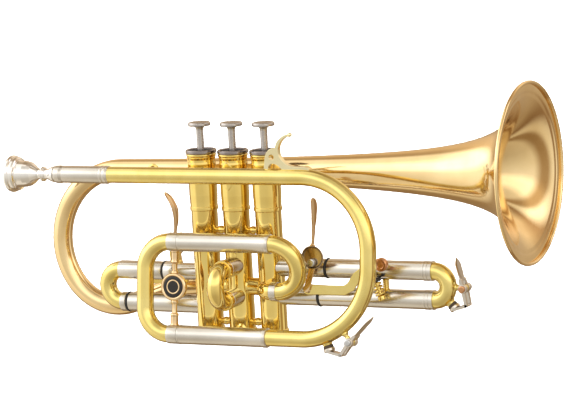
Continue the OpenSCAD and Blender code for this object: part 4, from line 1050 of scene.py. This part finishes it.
FB = polar(BOW_R + LEAD + 7, FRONT_POST)
TB = polar(THIRD_BOW_R + TUBE + 6, THIRD_POST)
front_barrel = key_centre @ place_at(FB[0], 0, FB[1])
third_barrel = third_centre @ place_at(TB[0], 0, TB[1])
HEAD = HUB_OUT + 0.35 + 2 + 1
s = Shape()
screw(s, place_at(T1[0], 0, T1[1]), 5.4, HEAD)
screw(s, place_at(T3[0], 0, T3[1]), -5.4, -HEAD)
screw(s, front_barrel, 7.35, -6.3, 2.4)
s.make("pivot_screw_set", "horn", "steel", "pivot_screws")
s = Shape()
spring_y(s, place_at(T1[0], 0, T1[1]), HUB_OUT + 0.35)
spring_y(s, place_at(T3[0], 0, T3[1]), -HUB_OUT - 0.35 - 2)
spring_y(s, front_barrel, 5.35)
s.make("lever_return_springs", "horn", "steel", "return_springs", sharp=60)
# screw and stop knob: their copper-brown colour is painted shade and painted brown reflection
s = Shape()
screw(s, third_barrel, 7.35, -6.3, 2.4)
s.turned([(-7.5, 0), (-7.5, 1.5), (-8.65, 1.5), (-8.7, 4.1), (-9.3, 4.7), (-12.2, 4.7), (-13, 4),
    (-13, 2.6), (-12.6, 2.2), (-12.6, 0)], "y", (114, 0, -59), 56, .3, 3)
s.make("third_slide_screw_set", "third_slide", "copper", "third_slide_screws")
s = Shape()
spring_y(s, third_barrel, 5.35)
s.make("third_key_coil", "third_slide", "steel", "third_key_spring", sharp=60)

# ---------------- water keys


def key_post(name, node, body, barrel, centre, angle, surface):
    s = Shape()
    reach = hypot(*barrel) - surface
    prof = [(-0.6, 0), (-0.6, 2.7), (0.5, 2.4), (1.4, 1.7), (2.6, 1.5), (3.4, 1.9),
        (reach - 1.2, 1.5), (reach - 1.2, 0)]
    v, f = lathe(rounded(prof, .4, 3), "x", (0, 0, 0), 32)
    v = [(x, y * min(1, 1.5 / 1.9) if x > 1.5 else y, z) for x, y, z in v]
    s.add(v, f, radial(centre, angle, surface))
    s.turned([(-1.5, 0), (-1.5, 2.2), (-1.1, 2.6), (1.1, 2.6), (1.5, 2.2), (1.5, 0)], "y",
        centre @ place_at(barrel[0], 0, barrel[1]), 40, .2, 2)
    s.make(name, body, "brass", node)


key_post("front_key_stand", "front_key_post", "horn", FB, key_centre, FRONT_POST, BOW_R + LEAD)
key_post("third_key_stand", "third_key_post", "third_slide", TB, third_centre, THIRD_POST,
    THIRD_BOW_R + TUBE)


def key_lever(name, node, body, centre, barrel, blade, elbow, cup, cup_angle):
    """Thumb blade, two ears with barrels, arm and cork cup."""
    s = Shape()
    b = Vector(barrel)
    d = (Vector(blade) - b)
    unit = d.normalized()
    root = b + unit * 6.2
    for y0, y1 in ((1.85, 4.9), (-4.9, -1.85)):
        prof = [(y0, 0), (y0, 3), (y0 + 0.3, 3.2), (y1 - 0.3, 3.2), (y1, 3), (y1, 0)]
        s.add(*lathe(rounded(prof, .15, 2), "y", (b.x, 0, b.y), 36), centre)
        s.add(*plate(bar_outline([tuple(b), tuple(root)], [3.2, 1.9], 6), y0 + 0.5, y1 - 0.3),
            centre)
        s.add(*plate(bar_outline([tuple(b), tuple(elbow)], [2.6, 2], 6), y0 + 0.5, y1 - 0.3),
            centre)
    # blade: a thin leaf, widest near its tip
    pts = [root - unit * 1.2 + (Vector(blade) - root + unit * 1.2) * t
        for t in [k / 12 for k in range(13)]]
    verts, faces, rows = [], [], []
    for k, p in enumerate(pts):
        t = k / 12
        w = 4.8 * (0.5 + 0.5 * sin(pi * min(0.5, 0.12 + 0.8 * t)))
        if t > 0.7:
            w *= max(0.12, 1 - ((t - 0.7) / 0.3) ** 1.7)
        th = 1.5 - 0.5 * t
        nrm = Vector((-unit.y, unit.x))
        row = []
        for m in range(16):
            a = 2 * pi * m / 16
            ca, sa = cos(a), sin(a)
            q = p + nrm * (th / 2 * sa)
            row.append(len(verts))
            verts.append((q.x, w * (abs(ca) ** 0.6) * (1 if ca > 0 else -1), q.y))
        rows.append(row)
    for lower, upper in zip(rows, rows[1:]):
        skin(faces, lower, upper)
    faces += [tuple(rows[0]), tuple(rows[-1])]
    s.add(verts, faces, centre)
    s.add(*plate(bar_outline([tuple(elbow), tuple(Vector(cup) + Vector(polar(0.7, cup_angle)))],
        [2, 1.8], 6), -4.4, 4.4), centre)
    prof = [(-1.6, 0), (-1.6, 3.8), (-1.3, 4), (0.2, 4), (0.8, 3.4), (0.95, 0)]
    s.turned(prof, "x", radial(centre, cup_angle, hypot(*cup)), 40, .25, 3)
    s.make(name, body, "nickel_gloss", node, sharp=35)


def cork_pad(name, node, body, centre, cup, cup_angle):
    s = Shape()
    prof = [(-3.6, 0), (-3.6, 3.3), (-3.3, 3.6), (-1.6, 3.6), (-1.6, 0)]
    s.turned(prof, "x", radial(centre, cup_angle, hypot(*cup)), 36, .15, 2)
    s.make(name, body, "cork", node, sharp=35)


FC = polar(BOW_R + LEAD + 5, FRONT_CUP)
TC = polar(THIRD_BOW_R + TUBE + 5, THIRD_CUP)
key_lever("front_key_blade", "front_key_lever", "front_key", key_centre, FB,
    (FB[0] + 16.9, FB[1] + 17.8), (FB[0] - 6.2, FB[1] - 8.9), FC, FRONT_CUP)
key_lever("third_key_blade", "third_key_lever", "third_key", third_centre, TB,
    (TB[0] - 5.2, TB[1] + 20.7), (TB[0] + 1.9, TB[1] - 11.7), TC, THIRD_CUP)
cork_pad("front_key_pad", "front_key_cork", "front_key", key_centre, FC, FRONT_CUP)
cork_pad("third_key_pad", "third_key_cork", "third_key", third_centre, TC, THIRD_CUP)

# ---------------- mouthpiece

s = Shape()
R0 = -169.0
prof = [(R0 + 2, 8.1), (R0 + 0.6, 8.7), (R0 - 0.1, 9.6), (R0 - 0.4, 10.7), (R0 - 0.1, 11.9),
    (R0 + 0.7, 12.9), (R0 + 2, 13.3), (R0 + 3.3, 13.1), (R0 + 3.7, 12.5), (R0 + 4, 12.2),
    (R0 + 5.8, 12.25), (R0 + 7, 11.8), (R0 + 7.5, 10.6), (R0 + 7.7, 9.7), (R0 + 9.2, 9.55),
    (R0 + 13, 9.35), (R0 + 16, 8.7), (R0 + 18.5, 7.4), (R0 + 20.6, 5.6), (R0 + 22.4, 4.2),
    (R0 + 23.8, 3.7), (R0 + 25, 4), (R0 + 25.8, 5), (R0 + 26.6, 5.4), (R0 + 27.5, 5.3),
    (R0 + 28.3, 4.4), (R0 + 29.2, 3.8), (R0 + 30.6, 3.9), (R0 + 32.4, 4.6), (R0 + 34.4, 5.5),
    (R0 + 36.1, 5.9), (-132.5, 5.95), (-132.3, 5), (-108, 4.6), (-108, 4.1), (-140, 2.6),
    (-150, 1.9), (-155, 1.9), (-157.5, 3.1), (-160.5, 5.6), (-163.6, 7.2), (R0 + 3.4, 7.9)]
rads = [0.8] * len(prof)
rads[0] = rads[-1] = 0
s.turned(prof, "x", (0, LEAD_Y, LEAD_Z), 96, rads, 4)
s.make("mouthpiece_turned", "mouthpiece", "silver", "mouthpiece", sharp=50)

# ---------------- CAD pieces kept inside

for node, mat in (("piston_1", "monel"), ("piston_2", "monel"), ("piston_3", "monel"),
        ("valve_guides", "nylon")):
    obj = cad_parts[node]
    obj.data.materials.clear()
    obj.data.materials.append(M[mat])

# ---------------- stage, light, camera


# What polished metal sees: (height from straight down to straight up, colour)
WORLD_HEIGHT = [(0, (0.62, 0.54, 0.42)), (0.20, (0.66, 0.59, 0.48)), (0.42, (0.92, 0.88, 0.80)),
                (0.55, (1.05, 1.02, 0.97)), (0.66, (1.80, 1.78, 1.74)), (0.80, (1.75, 1.72, 1.66)),
                (0.90, (0.95, 0.90, 0.82)), (1, (0.78, 0.70, 0.60))]
# (bearing: 0.5 is along -Y, 0.57 towards the camera, 0.82 its right), colour
WORLD_BEARING = [(0, (0.55, 0.44, 0.32)), (0.075, (0.42, 0.31, 0.20)), (0.18, (0.55, 0.44, 0.32)),
                 (0.235, (1.35, 1.35, 1.33)), (0.37, (1.35, 1.35, 1.33)), (0.42, (0.86, 0.85, 0.82)),
                 (0.56, (0.84, 0.83, 0.80)), (0.70, (1, 0.98, 0.94)), (0.745, (0.46, 0.34, 0.22)),
                 (0.785, (0.46, 0.34, 0.22)), (0.81, (1.1, 1.08, 1.05)), (0.835, (1, 0.98, 0.95)),
                 (0.87, (0.34, 0.22, 0.13)), (0.93, (0.62, 0.52, 0.40)), (1, (0.55, 0.44, 0.32))]


def stage_material(name, colour, rough):
    mat, tree, shader = principled(name)
    lighter = tuple(min(1, v * 1.01) for v in colour)
    feed(tree, shader, {"Roughness": rough, "Base Color": ramp(tree, noise(tree, 3, 2),
        [(0.3, colour), (0.7, lighter)])})
    return mat


mesh = bpy.data.meshes.new("floor")
mesh.from_pydata([(-6, -6, -0.36), (6, -6, -0.36), (6, 9, -0.36), (-6, 9, -0.36)], [],
    [(0, 1, 2, 3)])
mesh.materials.append(stage_material("floor_paint", (0.86, 0.86, 0.85), 0.9))
floor = put("floor", mesh)
floor.visible_glossy = False


def softbox(name, at, aim, size, power, colour=(1, 1, 1)):
    light = bpy.data.lights.new(name, "AREA")
    light.shape = "RECTANGLE"
    light.size, light.size_y = size
    light.energy = power
    light.color = colour
    obj = put(name, light)
    obj.location = at
    obj.rotation_euler = (Vector(aim) - Vector(at)).to_track_quat("-Z", "Y").to_euler()
    obj.visible_glossy = False


softbox("key_light", (-0.9, -1.5, 1.9), (0.02, 0, -0.03), (1.1, 0.8), 9)
softbox("fill_light", (1.7, -1.3, 1.2), (0.02, 0, -0.03), (0.8, 0.8), 4)
softbox("floor_light", (0, 2.5, 3), (0, 5, -0.36), (6, 4), 420)

world = bpy.data.worlds.new("studio")
bpy.context.scene.world = world
world.use_nodes = True
tree = world.node_tree
tree.nodes.clear()
axes = tree.nodes.new("ShaderNodeTexCoord").outputs["Generated"]
axes = add_node(tree, "SeparateXYZ", {"Vector": axes}).outputs


def calculate(operation, *values):
    return add_node(tree, "Math", dict(enumerate(values)), operation).outputs["Value"]


# brightness by height times brightness by bearing, which looks along -Y at 0.5
height = calculate("MULTIPLY_ADD", axes["Z"], 0.5, 0.5)
turn = calculate("ARCTAN2", axes["X"], calculate("MULTIPLY", axes["Y"], -1))
around = calculate("MULTIPLY_ADD", turn, 0.5 / pi, 0.5)
studio = add_node(tree, "VectorMath", {0: ramp(tree, height, WORLD_HEIGHT),
    1: ramp(tree, around, WORLD_BEARING)}, "MULTIPLY")
lit = add_node(tree, "Background", {"Color": studio.outputs["Vector"]})
plain = add_node(tree, "Background", {"Color": (1, 1, 1, 1)})
# metal reflects the studio; everything else, the camera included, gets plain white
glossy = tree.nodes.new("ShaderNodeLightPath").outputs["Is Glossy Ray"]
mix = add_node(tree, "MixShader", {"Fac": glossy, 1: plain.outputs["Background"],
    2: lit.outputs["Background"]})
add_node(tree, "OutputWorld", {"Surface": mix.outputs["Shader"]})

bpy.context.scene.view_settings.view_transform = "Standard"
bpy.context.scene.view_settings.look = "None"

cam_data = bpy.data.cameras.new("camera")
cam_data.lens = 183.84
cam_data.sensor_width = 36.0
cam_data.dof.use_dof = False
cam = put("camera", cam_data)
az, elev, roll = radians(26.34), radians(8.38), radians(-3.2)
back = Vector((sin(az) * cos(elev), -cos(az) * cos(elev), sin(elev)))
right = Vector((cos(az), sin(az), 0))
up = back.cross(right)
R_ = right * cos(roll) + up * sin(roll)
U_ = -right * sin(roll) + up * cos(roll)
m = Matrix((R_, U_, back)).transposed().to_4x4()
m.translation = Vector((0.03655, 0, -0.018)) + back * 2.0
cam.matrix_world = m
cam_data.clip_start, cam_data.clip_end = 0.05, 60
bpy.context.scene.camera = cam
